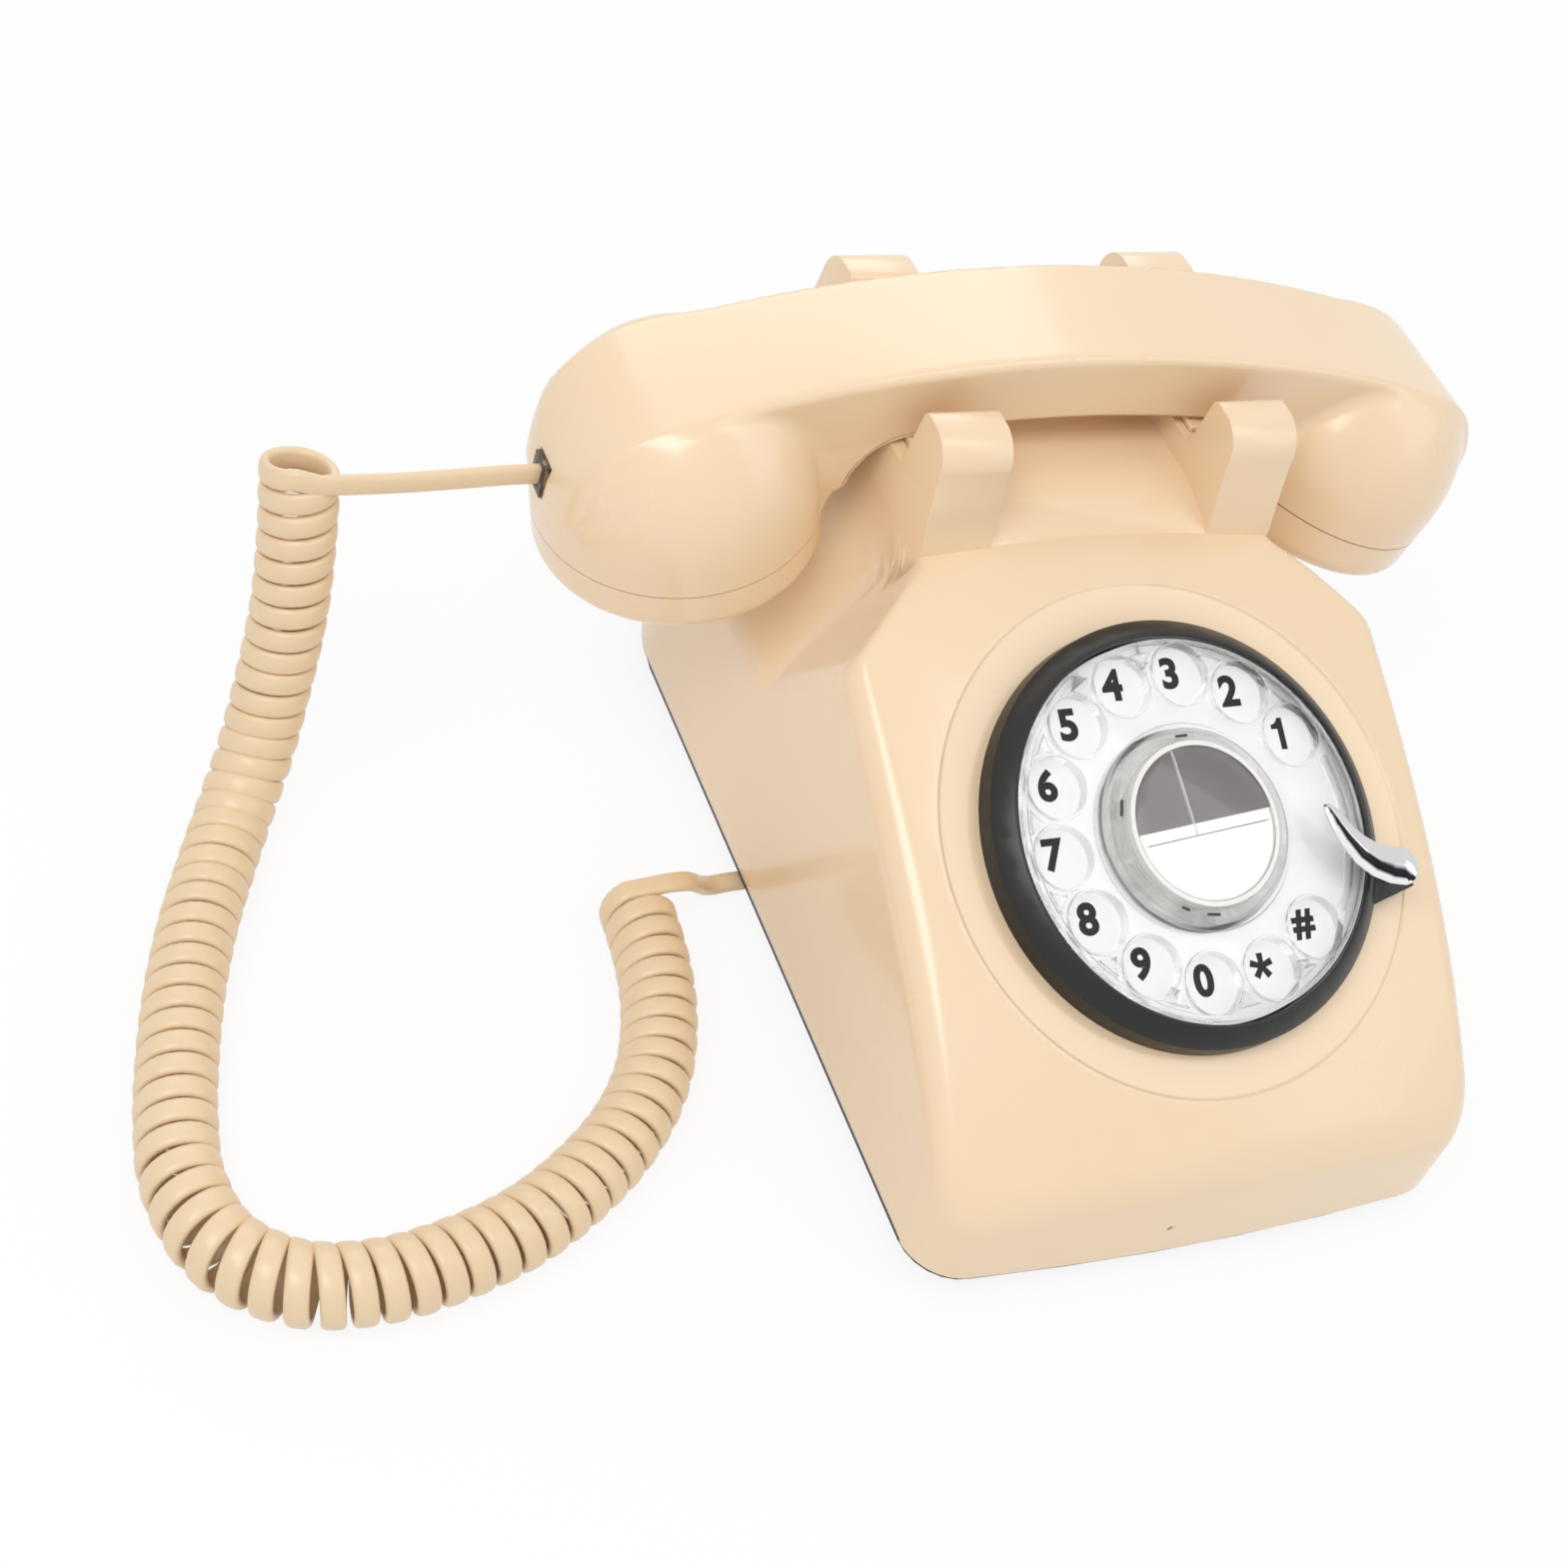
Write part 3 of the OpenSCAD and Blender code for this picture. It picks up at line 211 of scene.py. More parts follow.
coil, coil_axis = wound(COIL_PATH)
lead = smooth_line(LEAD, 26)
tail = smooth_line(TAIL, 40)
route = np.concatenate([lead[:-1], coil[1:-2], tail[1:]])
flat_dir = np.concatenate([np.tile([0, 0, -1.0], (len(lead) - 1, 1)), coil_axis[1:-2],
                           np.tile([0, 1.0, 0], (len(tail) - 1, 1))])


# %% Cord mesh
SMOOTHINGS, SIDES = 12, 14
WIDE_POWER, THICK_POWER = 0.62, 0.8


def swept_cord(line, wide, width, thick):
    """The flat, round-cornered section carried along the line as one closed tube."""
    ahead = directions(line)
    wide = normed(wide - ahead * np.sum(wide * ahead, axis=1)[:, None])
    over = np.cross(ahead, wide)
    bm = bmesh.new()
    ring = []
    for i, centre in enumerate(line):
        around = []
        for k in range(SIDES):
            g = 2 * math.pi * (k + 0.5) / SIDES
            c, s = math.cos(g), math.sin(g)
            a = math.copysign(abs(c) ** WIDE_POWER, c) * width / 2
            b = math.copysign(abs(s) ** THICK_POWER, s) * thick / 2
            around.append(Vector(centre + wide[i] * a + over[i] * b))
        if not ring:
            verts = [bm.verts.new(p) for p in around]
            ring = [bm.edges.new((verts[k], verts[(k + 1) % SIDES])) for k in range(SIDES)]
            bm.faces.new(verts[::-1])
            last = verts
            continue
        grown = bmesh.ops.extrude_edge_only(bm, edges=ring)["geom"]
        fresh = [v for v in grown if isinstance(v, bmesh.types.BMVert)]
        link = {}
        for v in fresh:
            for e in v.link_edges:
                other = e.other_vert(v)
                if other in last:
                    link[other] = v
        verts = [link[v] for v in last]
        for v, p in zip(verts, around):
            v.co = p
        ring = [e for e in grown if isinstance(e, bmesh.types.BMEdge)]
        last = verts
    bm.faces.new(last)
    bmesh.ops.recalc_face_normals(bm, faces=bm.faces)
    return bm


for _ in range(SMOOTHINGS):
    flat_dir[1:-1] = (flat_dir[:-2] + 2 * flat_dir[1:-1] + flat_dir[2:]) / 4
cord = show(swept_cord(route, flat_dir, CORD_W, CORD_T), "curly_cord_full", 60)
print("cord faces", len(cord.data.polygons))

# %% [markdown]
# The shells are glossy ABS and the cord is satin vinyl with the faintest grain from the die.
# The wheel is clear acrylic and the finger stop is chromed, with painted reflection on its blade.

# %% Finishes
CREAM = "#EFD3AE"
CREAM_PALE = "#F2D8B6"


def moulded(name, low, high, roughness, coat, bump, scale, gloss=0.5):
    """Injection-moulded plastic: two near shades in soft clouds, a fine skin and a glossy coat."""
    material, tree, shader = new_material(
        name, **{"Roughness": roughness, "IOR": 1.53, "Coat Weight": coat, "Coat Roughness": 0.09,
                 "Specular IOR Level": gloss})
    place = add(tree, "ShaderNodeTexCoord")
    clouds = add(tree, "ShaderNodeTexNoise", {"Scale": 22, "Detail": 3},
                 {"Vector": place.outputs["Object"]})
    shade = add(tree, "ShaderNodeValToRGB", links={"Fac": clouds.outputs["Fac"]})
    shade.color_ramp.interpolation = "B_SPLINE"
    shade.color_ramp.elements[0].position = 0.2
    shade.color_ramp.elements[0].color = srgb(low)
    shade.color_ramp.elements[1].position = 0.8
    shade.color_ramp.elements[1].color = srgb(high)
    grain = add(tree, "ShaderNodeTexNoise", {"Scale": scale, "Detail": 2},
                {"Vector": place.outputs["Object"]})
    skin = add(tree, "ShaderNodeBump", {"Strength": bump, "Distance": 0.0001},
               {"Height": grain.outputs["Fac"]})
    spread = add(tree, "ShaderNodeMapRange",
                 {"To Min": roughness - 0.03, "To Max": roughness + 0.04},
                 {"Value": clouds.outputs["Fac"]})
    tree.links.new(shade.outputs["Color"], shader.inputs["Base Color"])
    tree.links.new(skin.outputs["Normal"], shader.inputs["Normal"])
    tree.links.new(spread.outputs["Result"], shader.inputs["Roughness"])
    return material


# Name, two shades, roughness, coat, height of the grain, scale of the grain.
glossy_abs = moulded("cream_abs", CREAM, CREAM_PALE, 0.26, 0.45, 0.03, 900)
cord_vinyl = moulded("cream_cord_vinyl", "#E6CBA4", "#EBD2AE", 0.36, 0.1, 0.12, 1500)
black_abs = moulded("black_abs", "#121211", "#181817", 0.34, 0.0, 0.1, 1200, gloss=0.4)
dark_nylon = moulded("dark_nylon", "#2B2B2A", "#353433", 0.45, 0.0, 0.2, 1500)
natural_acetal = moulded("natural_acetal", "#EAE9E4", "#F0EFEB", 0.4, 0.0, 0.1, 1500)
foot_rubber = moulded("foot_rubber", "#161616", "#202020", 0.7, 0.0, 0.4, 2500)
plate_paint = moulded("plate_paint", "#F6F5F2", "#FAF9F7", 0.42, 0.0, 0.05, 2000)
board_mask = moulded("board_solder_mask", "#123D22", "#164829", 0.35, 0.2, 0.1, 1500)
digit_ink = moulded("digit_ink", "#141414", "#1C1C1B", 0.5, 0.0, 0.1, 2500, gloss=0.3)
card_grey = moulded("card_grey_print", "#594F4E", "#5F5655", 0.45, 0.0, 0.05, 2500)
card_white = moulded("card_white_print", "#F9F4F4", "#FDF9F9", 0.45, 0.0, 0.05, 2500)


def clear_plastic(name, tint, roughness, alpha=1.0):
    """Bends light as acrylic does. An alpha below 1 lets that share straight through."""
    material, tree, shader = new_material(
        name, **{"Base Color": srgb(tint), "Transmission Weight": 1.0, "IOR": 1.49,
                 "Roughness": roughness, "Alpha": alpha})
    place = add(tree, "ShaderNodeTexCoord")
    flow = add(tree, "ShaderNodeTexNoise", {"Scale": 60}, {"Vector": place.outputs["Object"]})
    wave = add(tree, "ShaderNodeBump", {"Strength": 0.05, "Distance": 0.0001},
               {"Height": flow.outputs["Fac"]})
    tree.links.new(wave.outputs["Normal"], shader.inputs["Normal"])
    return material


acrylic = clear_plastic("clear_acrylic", "#FDFEFF", 0.02, 0.6)
ring_acrylic = clear_plastic("clear_acrylic_ring", "#FFFFFF", 0.04, 0.45)
polycarbonate = clear_plastic("clear_polycarbonate", "#EFE9E4", 0.06, 0.8)
socket_grey = moulded("socket_grey_nylon", "#5A504A", "#645A54", 0.4, 0.0, 0.1, 1500)


def metal(name, colour, roughness, grain):
    material, tree, shader = new_material(
        name, **{"Base Color": srgb(colour), "Metallic": 1.0, "Roughness": roughness})
    place = add(tree, "ShaderNodeTexCoord")
    marks = add(tree, "ShaderNodeTexNoise", {"Scale": 1500, "Detail": 3},
                {"Vector": place.outputs["Object"]})
    dents = add(tree, "ShaderNodeBump", {"Strength": grain, "Distance": 0.00005},
                {"Height": marks.outputs["Fac"]})
    tree.links.new(dents.outputs["Normal"], shader.inputs["Normal"])
    return material


def chrome_with_painted_reflection(name, painted_dark_side):
    """Chrome on a crowned blade with painted reflection: a painted dark band on the side that leans
    to its dark neighbours, and a painted white highlight past it.
    """
    material, tree, shader = new_material(name, **{"Metallic": 1.0, "Roughness": 0.07})
    place = add(tree, "ShaderNodeTexCoord")
    lean = add(tree, "ShaderNodeVectorMath", {1: painted_dark_side}, {0: place.outputs["Normal"]},
               operation="DOT_PRODUCT")
    band = add(tree, "ShaderNodeValToRGB", links={"Fac": lean.outputs["Value"]})
    # Painted reflection by which way the surface faces: light grey, a painted dark band, then a
    # painted white highlight.
    stops = ((0.0, "#D6D6D6"), (0.03, "#C6C6C6"), (0.08, "#232326"), (0.2, "#1C1C1F"),
             (0.27, "#EFEFEF"))
    while len(band.color_ramp.elements) < len(stops):
        band.color_ramp.elements.new(0.5)
    for element, (at, colour) in zip(band.color_ramp.elements, stops):
        element.position = at
        element.color = srgb(colour)
    tree.links.new(band.outputs["Color"], shader.inputs["Base Color"])
    return material


# The blade's dark band and white rim are painted reflection and painted highlight.
blade_chrome_painted_reflection = chrome_with_painted_reflection("chrome_with_painted_reflection_on_blade", (-0.67, -0.66, -0.33))
chrome = metal("chrome_plate", "#E4E4E6", 0.06, 0.03)
steel = metal("zinc_plated_steel", "#B9B9BA", 0.3, 0.3)
print("materials", len(bpy.data.materials))

# %% [markdown]
# ## Dressing the parts that keep their CAD shape
# Inner parts and small flat parts are right as they are. They only need their finish.

# %% Finish by slot
FINISH = {
    "cream_plastic": glossy_abs, "cord_plastic": cord_vinyl, "black_plastic": black_abs,
    "dark_plastic": dark_nylon, "dial_face": plate_paint, "clear_plastic": acrylic,
    "chrome": chrome, "steel": steel, "gear_plastic": natural_acetal, "circuit_board": board_mask,
    "rubber": foot_rubber, "card": card_grey}
for row in frame["record"]["subparts"]:
    dress(NODES[row["node"]], FINISH[row["material_slot"]])
dress(NODES["handset_socket"], socket_grey)
SLOT = {row["node"]: row["material_slot"] for row in frame["record"]["subparts"]}
BODY = {n: b for b, names in frame["record"]["behaviour"]["bodies"].items() for n in names}
print("dressed", len(NODES), "nodes")

# %% Cord in place of the CAD cord
dress(cord, cord_vinyl)
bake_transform(cord)
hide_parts("handset_lead", "curly_cord", "base_lead")


# %% [markdown]
# ## Softened copies
# A CAD part has knife edges. A copy whose loose triangles are joined can have its edges rolled
# over, which is what catches the light on the real part.

# %% Helpers for softened copies
SHARP = 32
SAME_POINT = 1e-6


def roll_edges(piece, radius):
    edge = piece.modifiers.new("rolled_edges", "BEVEL")
    edge.width = radius
    edge.segments = 2
    edge.limit_method = "ANGLE"
    edge.angle_limit = math.radians(SHARP)
    edge.use_clamp_overlap = True


def softened(node, material, radius=0.0):
    """A copy of a CAD part with its triangles joined and, if asked, its edges rolled."""
    bm = bmesh.new()
    bm.from_mesh(NODES[node].data)
    bmesh.ops.remove_doubles(bm, verts=bm.verts, dist=SAME_POINT)
    bmesh.ops.dissolve_limit(bm, angle_limit=math.radians(1.0), verts=bm.verts, edges=bm.edges)
    piece = show(bm, node + "_soft", SHARP)
    if radius:
        roll_edges(piece, radius)
    dress(piece, material)
    stand_for(piece, BODY[node], SLOT[node], node)
    return piece


for node, material, radius in (
        ("dial_bezel", black_abs, 0.0003), ("centre_ring", ring_acrylic, 0.0002),
        ("handset_plug", polycarbonate, 0.0003), ("number_plate", plate_paint, 0.0),
        ("base_plate", black_abs, 0.0), ("hook_plungers", glossy_abs, 0.0004)):
    softened(node, material, radius)

# The button's spring gets a mesh of its own. It stands on the hub's flange.
spring = softened("button_spring", steel)
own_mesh(spring)

# %% [markdown]
# ## Shells from a formula
# The shells are smooth everywhere and their edges roll over by a millimetre or two. Such a shell is
# easiest to say as a formula: a number that is negative inside, zero on the surface and positive
# outside. Rough blocks are joined and remeshed into an even net, and every point of the net is then
# moved on to the surface that the formula gives.


# %% Helpers for formulas
PROBE = 0.04
LEAST_SLOPE, LONGEST_MOVE = 0.05, 2.0


def round_max(a, b, r):
    """Both at once, with an edge of radius r."""
    u, v = np.maximum(a + r, 0), np.maximum(b + r, 0)
    return np.minimum(np.maximum(a, b), -r) + np.hypot(u, v)


def round_min(a, b, r):
    """Either one, with a fillet of radius r between them."""
    return -round_max(-a, -b, r)


def settle(bm, form, rounds=9, relax=2):
    """Moves each vertex on to the surface where form is zero. The form works in millimetres."""
    def slide(points):
        for _ in range(rounds):
            value = form(points)
            slope = np.empty_like(points)
            for k in range(3):
                nudge = np.zeros(3)
                nudge[k] = PROBE
                slope[:, k] = (form(points + nudge) - form(points - nudge)) / (2 * PROBE)
            size = np.maximum((slope ** 2).sum(1), LEAST_SLOPE)
            move = np.clip(value / size, -LONGEST_MOVE, LONGEST_MOVE)
            points = points - slope * move[:, None]
        return points

    for k in range(relax + 1):
        points = slide(np.array([v.co for v in bm.verts]) / MM)
        for v, p in zip(bm.verts, points * MM):
            v.co = p
        if k < relax:
            bmesh.ops.smooth_vert(bm, verts=bm.verts, factor=0.5,
                                  use_axis_x=True, use_axis_y=True, use_axis_z=True)
    return bm


def evaluated(piece):
    """The piece's mesh with its modifiers applied."""
    bpy.context.view_layer.update()
    graph = bpy.context.evaluated_depsgraph_get()
    return bpy.data.meshes.new_from_object(piece.evaluated_get(graph))


def remeshed(bm, size):
    """An even net of voxels of the given size, in metres, round closed blocks."""
    piece = show(bm, "block")
    net = piece.modifiers.new("net", "REMESH")
    net.mode = "VOXEL"
    net.voxel_size = size
    out = bmesh.new()
    out.from_mesh(evaluated(piece))
    bpy.data.objects.remove(piece)
    return out


def carved(piece, tool, how="DIFFERENCE"):
    """Cuts a closed tool out of a closed piece, or joins it on, and throws the tool away."""
    cut = piece.modifiers.new("cut", "BOOLEAN")
    cut.operation = how
    cut.solver = "MANIFOLD"
    cut.object = tool
    mesh = evaluated(piece)
    piece.modifiers.clear()
    if len(mesh.polygons) < 4:
        raise ValueError("nothing is left of " + piece.name + " after " + tool.name)
    piece.data = mesh
    bpy.data.objects.remove(tool)


def box_bm(low, high):
    bm = bmesh.new()
    bmesh.ops.create_cube(bm, size=1)
    low, high = Vector(low) * MM, Vector(high) * MM
    bmesh.ops.scale(bm, vec=high - low, verts=bm.verts)
    bmesh.ops.translate(bm, vec=(low + high) / 2, verts=bm.verts)
    return bm


def slab_bm(points, low, high, plane="XZ"):
    """A flat outline in millimetres, extruded along the third axis."""
    bm = bmesh.new()
    place = {"XZ": lambda p, t: (p[0], t, p[1]), "YZ": lambda p, t: (t, p[0], p[1]),
             "XY": lambda p, t: (p[0], p[1], t)}[plane]
    face = bm.faces.new([bm.verts.new(Vector(place(p, low)) * MM) for p in points])
    grown = bmesh.ops.extrude_face_region(bm, geom=[face])["geom"]
    shift = Vector(place((0, 0), high - low)) * MM
    bmesh.ops.translate(bm, vec=shift,
                        verts=[v for v in grown if isinstance(v, bmesh.types.BMVert)])
    bmesh.ops.recalc_face_normals(bm, faces=bm.faces)
    return bm


def turned_bm(profile, steps, matrix):
    """A closed profile of (radius, height) in millimetres, spun into a ring or a disc."""
    bm = bmesh.new()
    verts = [bm.verts.new((r * MM, 0, h * MM)) for r, h in profile]
    edges = [bm.edges.new((verts[i], verts[(i + 1) % len(verts)])) for i in range(len(verts))]
    edges = [e for e in edges if max(v.co.x for v in e.verts) > 1e-9]
    bmesh.ops.spin(bm, geom=verts + edges, cent=(0, 0, 0), axis=(0, 0, 1), angle=2 * math.pi,
                   steps=steps, use_merge=True)
    bmesh.ops.remove_doubles(bm, verts=bm.verts, dist=SAME_POINT)
    bmesh.ops.recalc_face_normals(bm, faces=bm.faces)
    bmesh.ops.transform(bm, matrix=matrix, verts=bm.verts)
    return bm


def moved(x, y, z):
    return Matrix.Translation(Vector((x, y, z)) * MM)


def pin_bm(radius, low, high, steps, matrix):
    return turned_bm([(0, low), (radius, low), (radius, high), (0, high)], steps, matrix)


def arc_points(cx, cy, r, a, b, n):
    return [(cx + r * math.cos(math.radians(a + (b - a) * i / n)),
             cy + r * math.sin(math.radians(a + (b - a) * i / n))) for i in range(n + 1)]


def merge_bm(*parts):
    whole = bmesh.new()
    for part in parts:
        mesh = bpy.data.meshes.new("part")
        part.to_mesh(mesh)
        part.free()
        whole.from_mesh(mesh)
        bpy.data.meshes.remove(mesh)
    return whole


# %% [markdown]
# ## The handset
# Two round cups hang from an arched handle. Each cup is a dome over a slightly tilted seam, with a
# shallow cap under it. The arch cuts the domes flat on top, and each end slopes off.

# %% Handset sizes
CRADLE_Y = 51.4
ARCH_R, ARCH_TOP, HANDLE_T = 300.0, 120.7, 18.3
ARCH_Z = ARCH_TOP - ARCH_R
ARCH_LOW = ARCH_R - HANDLE_T
CUP_X, CUP_Z, CUP_R, CUP_TILT = 79.3, 75.7, 30.2, math.radians(13.8)
CAP_T = 10.5
DOME_R, DOME_H, DOME_FOOT = 30.3, 33.5, 5
HANDLE_HALF, HANDLE_FLARE, HANDLE_END_R = 13.2, 2.7, 29.8
CAP_ROUND, HANDLE_ROUND, FILLET_ROUND, TOP_ROUND = 4.0, 1.6, 0.8, 1.7
CREASE, CREASE_GROWTH, CREASE_TOP, CREASE_RUN = 1.8, 2.7, 98, 8
FILLET_HALF, FILLET_OUT = 13.4, 66
FILLET_R = 14.0
FILLET_X = CUP_X - CUP_R - FILLET_R
FILLET_Z = ARCH_Z + math.sqrt(ARCH_LOW ** 2 - FILLET_X ** 2) - FILLET_R
SEAM_T = 1.2
PLUG_HALF, SOUND_HOLES = 3.55, 7
END_X, END_R = 82.6, 27.8
END_TURN = math.asin(END_X / (ARCH_R - END_R))
END_Z = ARCH_Z + (ARCH_R - END_R) * math.cos(END_TURN)


def cup_places(p):
    """Distance from the cup's axis and height over its seam."""
    dx, dz = np.abs(p[:, 0]) - CUP_X, p[:, 2] - CUP_Z
    c, s = math.cos(CUP_TILT), math.sin(CUP_TILT)
    return np.hypot(dx * c - dz * s, p[:, 1] - CRADLE_Y), dx * s + dz * c


def handset_form(p):
    """Domes, caps and handle joined, then cut by the arch on top and the slope of each end."""
    x, y = np.abs(p[:, 0]), np.abs(p[:, 1] - CRADLE_Y)
    arch = np.hypot(x, p[:, 2] - ARCH_Z)
    rho, h = cup_places(p)
    up = np.maximum(h - DOME_FOOT, 0)
    k0 = np.hypot(rho / DOME_R, up / DOME_H)
    k1 = np.maximum(np.hypot(rho / DOME_R ** 2, up / DOME_H ** 2), 1e-4)
    dome = np.where(h > DOME_FOOT, k0 * (k0 - 1) / k1, rho - DOME_R)
    cap = round_max(rho - DOME_R, -CAP_T - h, CAP_ROUND)
    cup = np.where(h > -0.5, dome, cap)
    wide = HANDLE_HALF + (arch - ARCH_LOW) / HANDLE_T * HANDLE_FLARE
    handle = round_max(y - wide, ARCH_LOW - arch, HANDLE_ROUND)
    handle_end = np.where(x > CUP_X, np.hypot(x - CUP_X, y) - HANDLE_END_R, -50)
    handle = np.maximum(handle, handle_end)
    fillet = np.maximum.reduce([FILLET_R - np.hypot(x - FILLET_X, p[:, 2] - FILLET_Z),
                                FILLET_X - x, FILLET_Z - p[:, 2], x - FILLET_OUT, y - FILLET_HALF])
    crease = CREASE + CREASE_GROWTH * np.clip((CREASE_TOP - p[:, 2]) / CREASE_RUN, 0, 1)
    body = round_min(round_min(handle, fillet, FILLET_ROUND), cup, crease)
    over, up = x - END_X, p[:, 2] - END_Z
    end = np.where(up > 0, np.hypot(over, up) - END_R, over - END_R)
    top = np.where((over > 0) & (over > up * math.tan(END_TURN)), end, arch - ARCH_R)
    return round_max(body, top, TOP_ROUND)


def arch_bm(low, high, half, angle):
    """A bar that follows the arch for the angle, in degrees, on either side of the middle."""
    bm = bmesh.new()
    a = math.radians(90 + angle)
    corners = [(low, -half), (low, half), (high, half), (high, -half)]
    places = [(r * math.cos(a), CRADLE_Y + y, ARCH_Z + r * math.sin(a)) for r, y in corners]
    face = bm.faces.new([bm.verts.new(Vector(place) * MM) for place in places])
    bmesh.ops.spin(bm, geom=[face, *face.edges, *face.verts], axis=(0, 1, 0),
                   cent=Vector((0, CRADLE_Y, ARCH_Z)) * MM, angle=math.radians(2 * angle),
                   steps=48, use_duplicate=False)
    bmesh.ops.remove_doubles(bm, verts=bm.verts, dist=1e-7)
    bmesh.ops.recalc_face_normals(bm, faces=bm.faces)
    return bm


def at_cup(side):
    return moved(side * CUP_X, CRADLE_Y, CUP_Z) @ Matrix.Rotation(side * CUP_TILT, 4, "Y")


# %% Handset net
HANDSET_VOXEL = 0.9 * MM
CUP_BLOCK = [(0, -CAP_T), (27, -CAP_T), (29.5, -7), (30, 6), (26, 22), (16, 32), (0, 34)]
hollow = arc_points(FILLET_X, FILLET_Z, FILLET_R, 0, 90, 6)
blocks = [arch_bm(ARCH_LOW, ARCH_R, 15, 20.5)]
for side in (-1, 1):
    blocks.append(turned_bm(CUP_BLOCK, 48, at_cup(side)))
    corner = [(side * x, z) for x, z in [*hollow, (FILLET_X, 104), (64, 104), (64, 84)]]
    blocks.append(slab_bm(corner, CRADLE_Y - FILLET_HALF, CRADLE_Y + FILLET_HALF))
handset_bm = remeshed(merge_bm(*blocks), HANDSET_VOXEL)
handset = show(settle(handset_bm, handset_form), "handset_shell_form")
print("handset net", len(handset.data.vertices), "points")

# %% [markdown]
# The seam runs round the cups and along the underside of the handle. A thin ribbon of that outline
# cuts the whole in two: the shell above and the cover below.


# %% Handset seam
def seam_outline():
    reach = ARCH_LOW + SEAM_T
    join = 90 - math.degrees(math.asin(FILLET_X / reach))
    line = arc_points(0, ARCH_Z, reach, 90, join, 15)
    line += arc_points(FILLET_X, FILLET_Z, FILLET_R + SEAM_T, 82, 2, 13)
    c, s = math.cos(CUP_TILT), math.sin(CUP_TILT)
    line += [(CUP_X + u * c, CUP_Z - u * s) for u in (-CUP_R + 0.4, -20, 0, 20, 36)]
    return line


def ribbon_bm(line, thick):
    """A thin sheet right through the handset, along the outline and its mirror image."""
    line = [(-x, z) for x, z in line[:0:-1]] + line
    bm = bmesh.new()
    verts = [bm.verts.new(Vector((x, CRADLE_Y - 40, z)) * MM) for x, z in line]
    edges = [bm.edges.new(pair) for pair in zip(verts, verts[1:])]
    grown = bmesh.ops.extrude_edge_only(bm, edges=edges)["geom"]
    bmesh.ops.translate(bm, vec=Vector((0, 80, 0)) * MM,
                        verts=[v for v in grown if isinstance(v, bmesh.types.BMVert)])
    bmesh.ops.recalc_face_normals(bm, faces=bm.faces)
    bmesh.ops.solidify(bm, geom=bm.faces[:], thickness=thick * MM)
    bmesh.ops.recalc_face_normals(bm, faces=bm.faces)
    return bm


carved(handset, show(ribbon_bm(seam_outline(), 0.3), "seam"))
plug_hole = box_bm((-116, CRADLE_Y - PLUG_HALF, 77.95), (-96.5, CRADLE_Y + PLUG_HALF, 86.05))
carved(handset, show(plug_hole, "plug_hole"))
for side in (-1, 1):
    for k in range(SOUND_HOLES):
        out = 0.006 if k < SOUND_HOLES - 1 else 0
        off = Matrix.Rotation(math.radians(60 * k), 4, "Z") @ Matrix.Translation((out, 0, 0))
        carved(handset, show(pin_bm(1.1, -13, -5, 16, at_cup(side) @ off), "sound_hole"))


def loose_groups(piece):
    """The vertex numbers of each connected part, the largest part first."""
    bm = bmesh.new()
    bm.from_mesh(piece.data)
    left, groups = set(bm.verts), []
    while left:
        stack, found = [left.pop()], []
        while stack:
            v = stack.pop()
            found.append(v.index)
            for e in v.link_edges:
                o = e.other_vert(v)
                if o in left:
                    left.discard(o)
                    stack.append(o)
        groups.append(found)
    bm.free()
    return sorted(groups, key=len, reverse=True)


groups = loose_groups(handset)
print("handset groups", [len(g) for g in groups][:8])


def keep_group(piece, wanted, name):
    bm = bmesh.new()
    bm.from_mesh(piece.data)
    bm.verts.ensure_lookup_table()
    wanted = set(wanted)
    bmesh.ops.delete(bm, geom=[v for v in bm.verts if v.index not in wanted], context="VERTS")
    return show(bm, name, 42)


mean_z = [np.mean([handset.data.vertices[i].co.z for i in g]) for g in groups[:2]]
upper, lower = (0, 1) if mean_z[0] > mean_z[1] else (1, 0)
shell = keep_group(handset, groups[upper], "handset_shell_moulding")
cover = keep_group(handset, groups[lower], "handset_cover_moulding")
bpy.data.objects.remove(handset)
for piece, node in ((shell, "handset_shell"), (cover, "handset_cover")):
    dress(piece, glossy_abs)
    stand_for(piece, BODY[node], SLOT[node], node)

# %% [markdown]
# ## The housing
# Straight walls, a face that slopes up from the front, a shallow dish round the dial, a block with
# four prongs at the top, and a scooped shoulder under each cup of the handset.

# %% Housing form
HALF_W, FRONT, REAR, SHELL_Z = 63.5, 101.0, 102.0, 5.2
FRONT_CORNER, REAR_CORNER, WALL_LEAN, FACE_ROUND = 12, 34, 9, 5.0
DIAL_Y, DIAL_Z, TOWER = -44.2, 64.6, 90.4
TILT = math.radians(26.6)
SLOPE = math.tan(TILT)
DIAL = Matrix.Translation((0, DIAL_Y * MM, DIAL_Z * MM)) @ Matrix.Rotation(TILT, 4, "X")
DISH_R, CROWN_R = 53.2, 580


def face_height(x, y):
    """The sloping face, which bends down outside the dish, under the domed top of the tower."""
    u = (y - DIAL_Y) / math.cos(TILT)
    past = np.maximum(0, x * x + u * u - DISH_R ** 2) / CROWN_R
    crown = past * (1 - 0.45 * np.clip(u / 60, -1, 1)) / math.cos(TILT)
    a, b = DIAL_Z + (y - DIAL_Y) * SLOPE - crown, TOWER - x * x / 900
    return (a + b - np.sqrt((a - b) ** 2 + 2.25)) / 2


def rounded_corner(x, along, size, r):
    qa, qb = x - (HALF_W - r), along - (size - r)
    outside = np.hypot(np.maximum(qa, 0), np.maximum(qb, 0))
    return np.minimum(np.maximum(qa, qb), 0) + outside - r


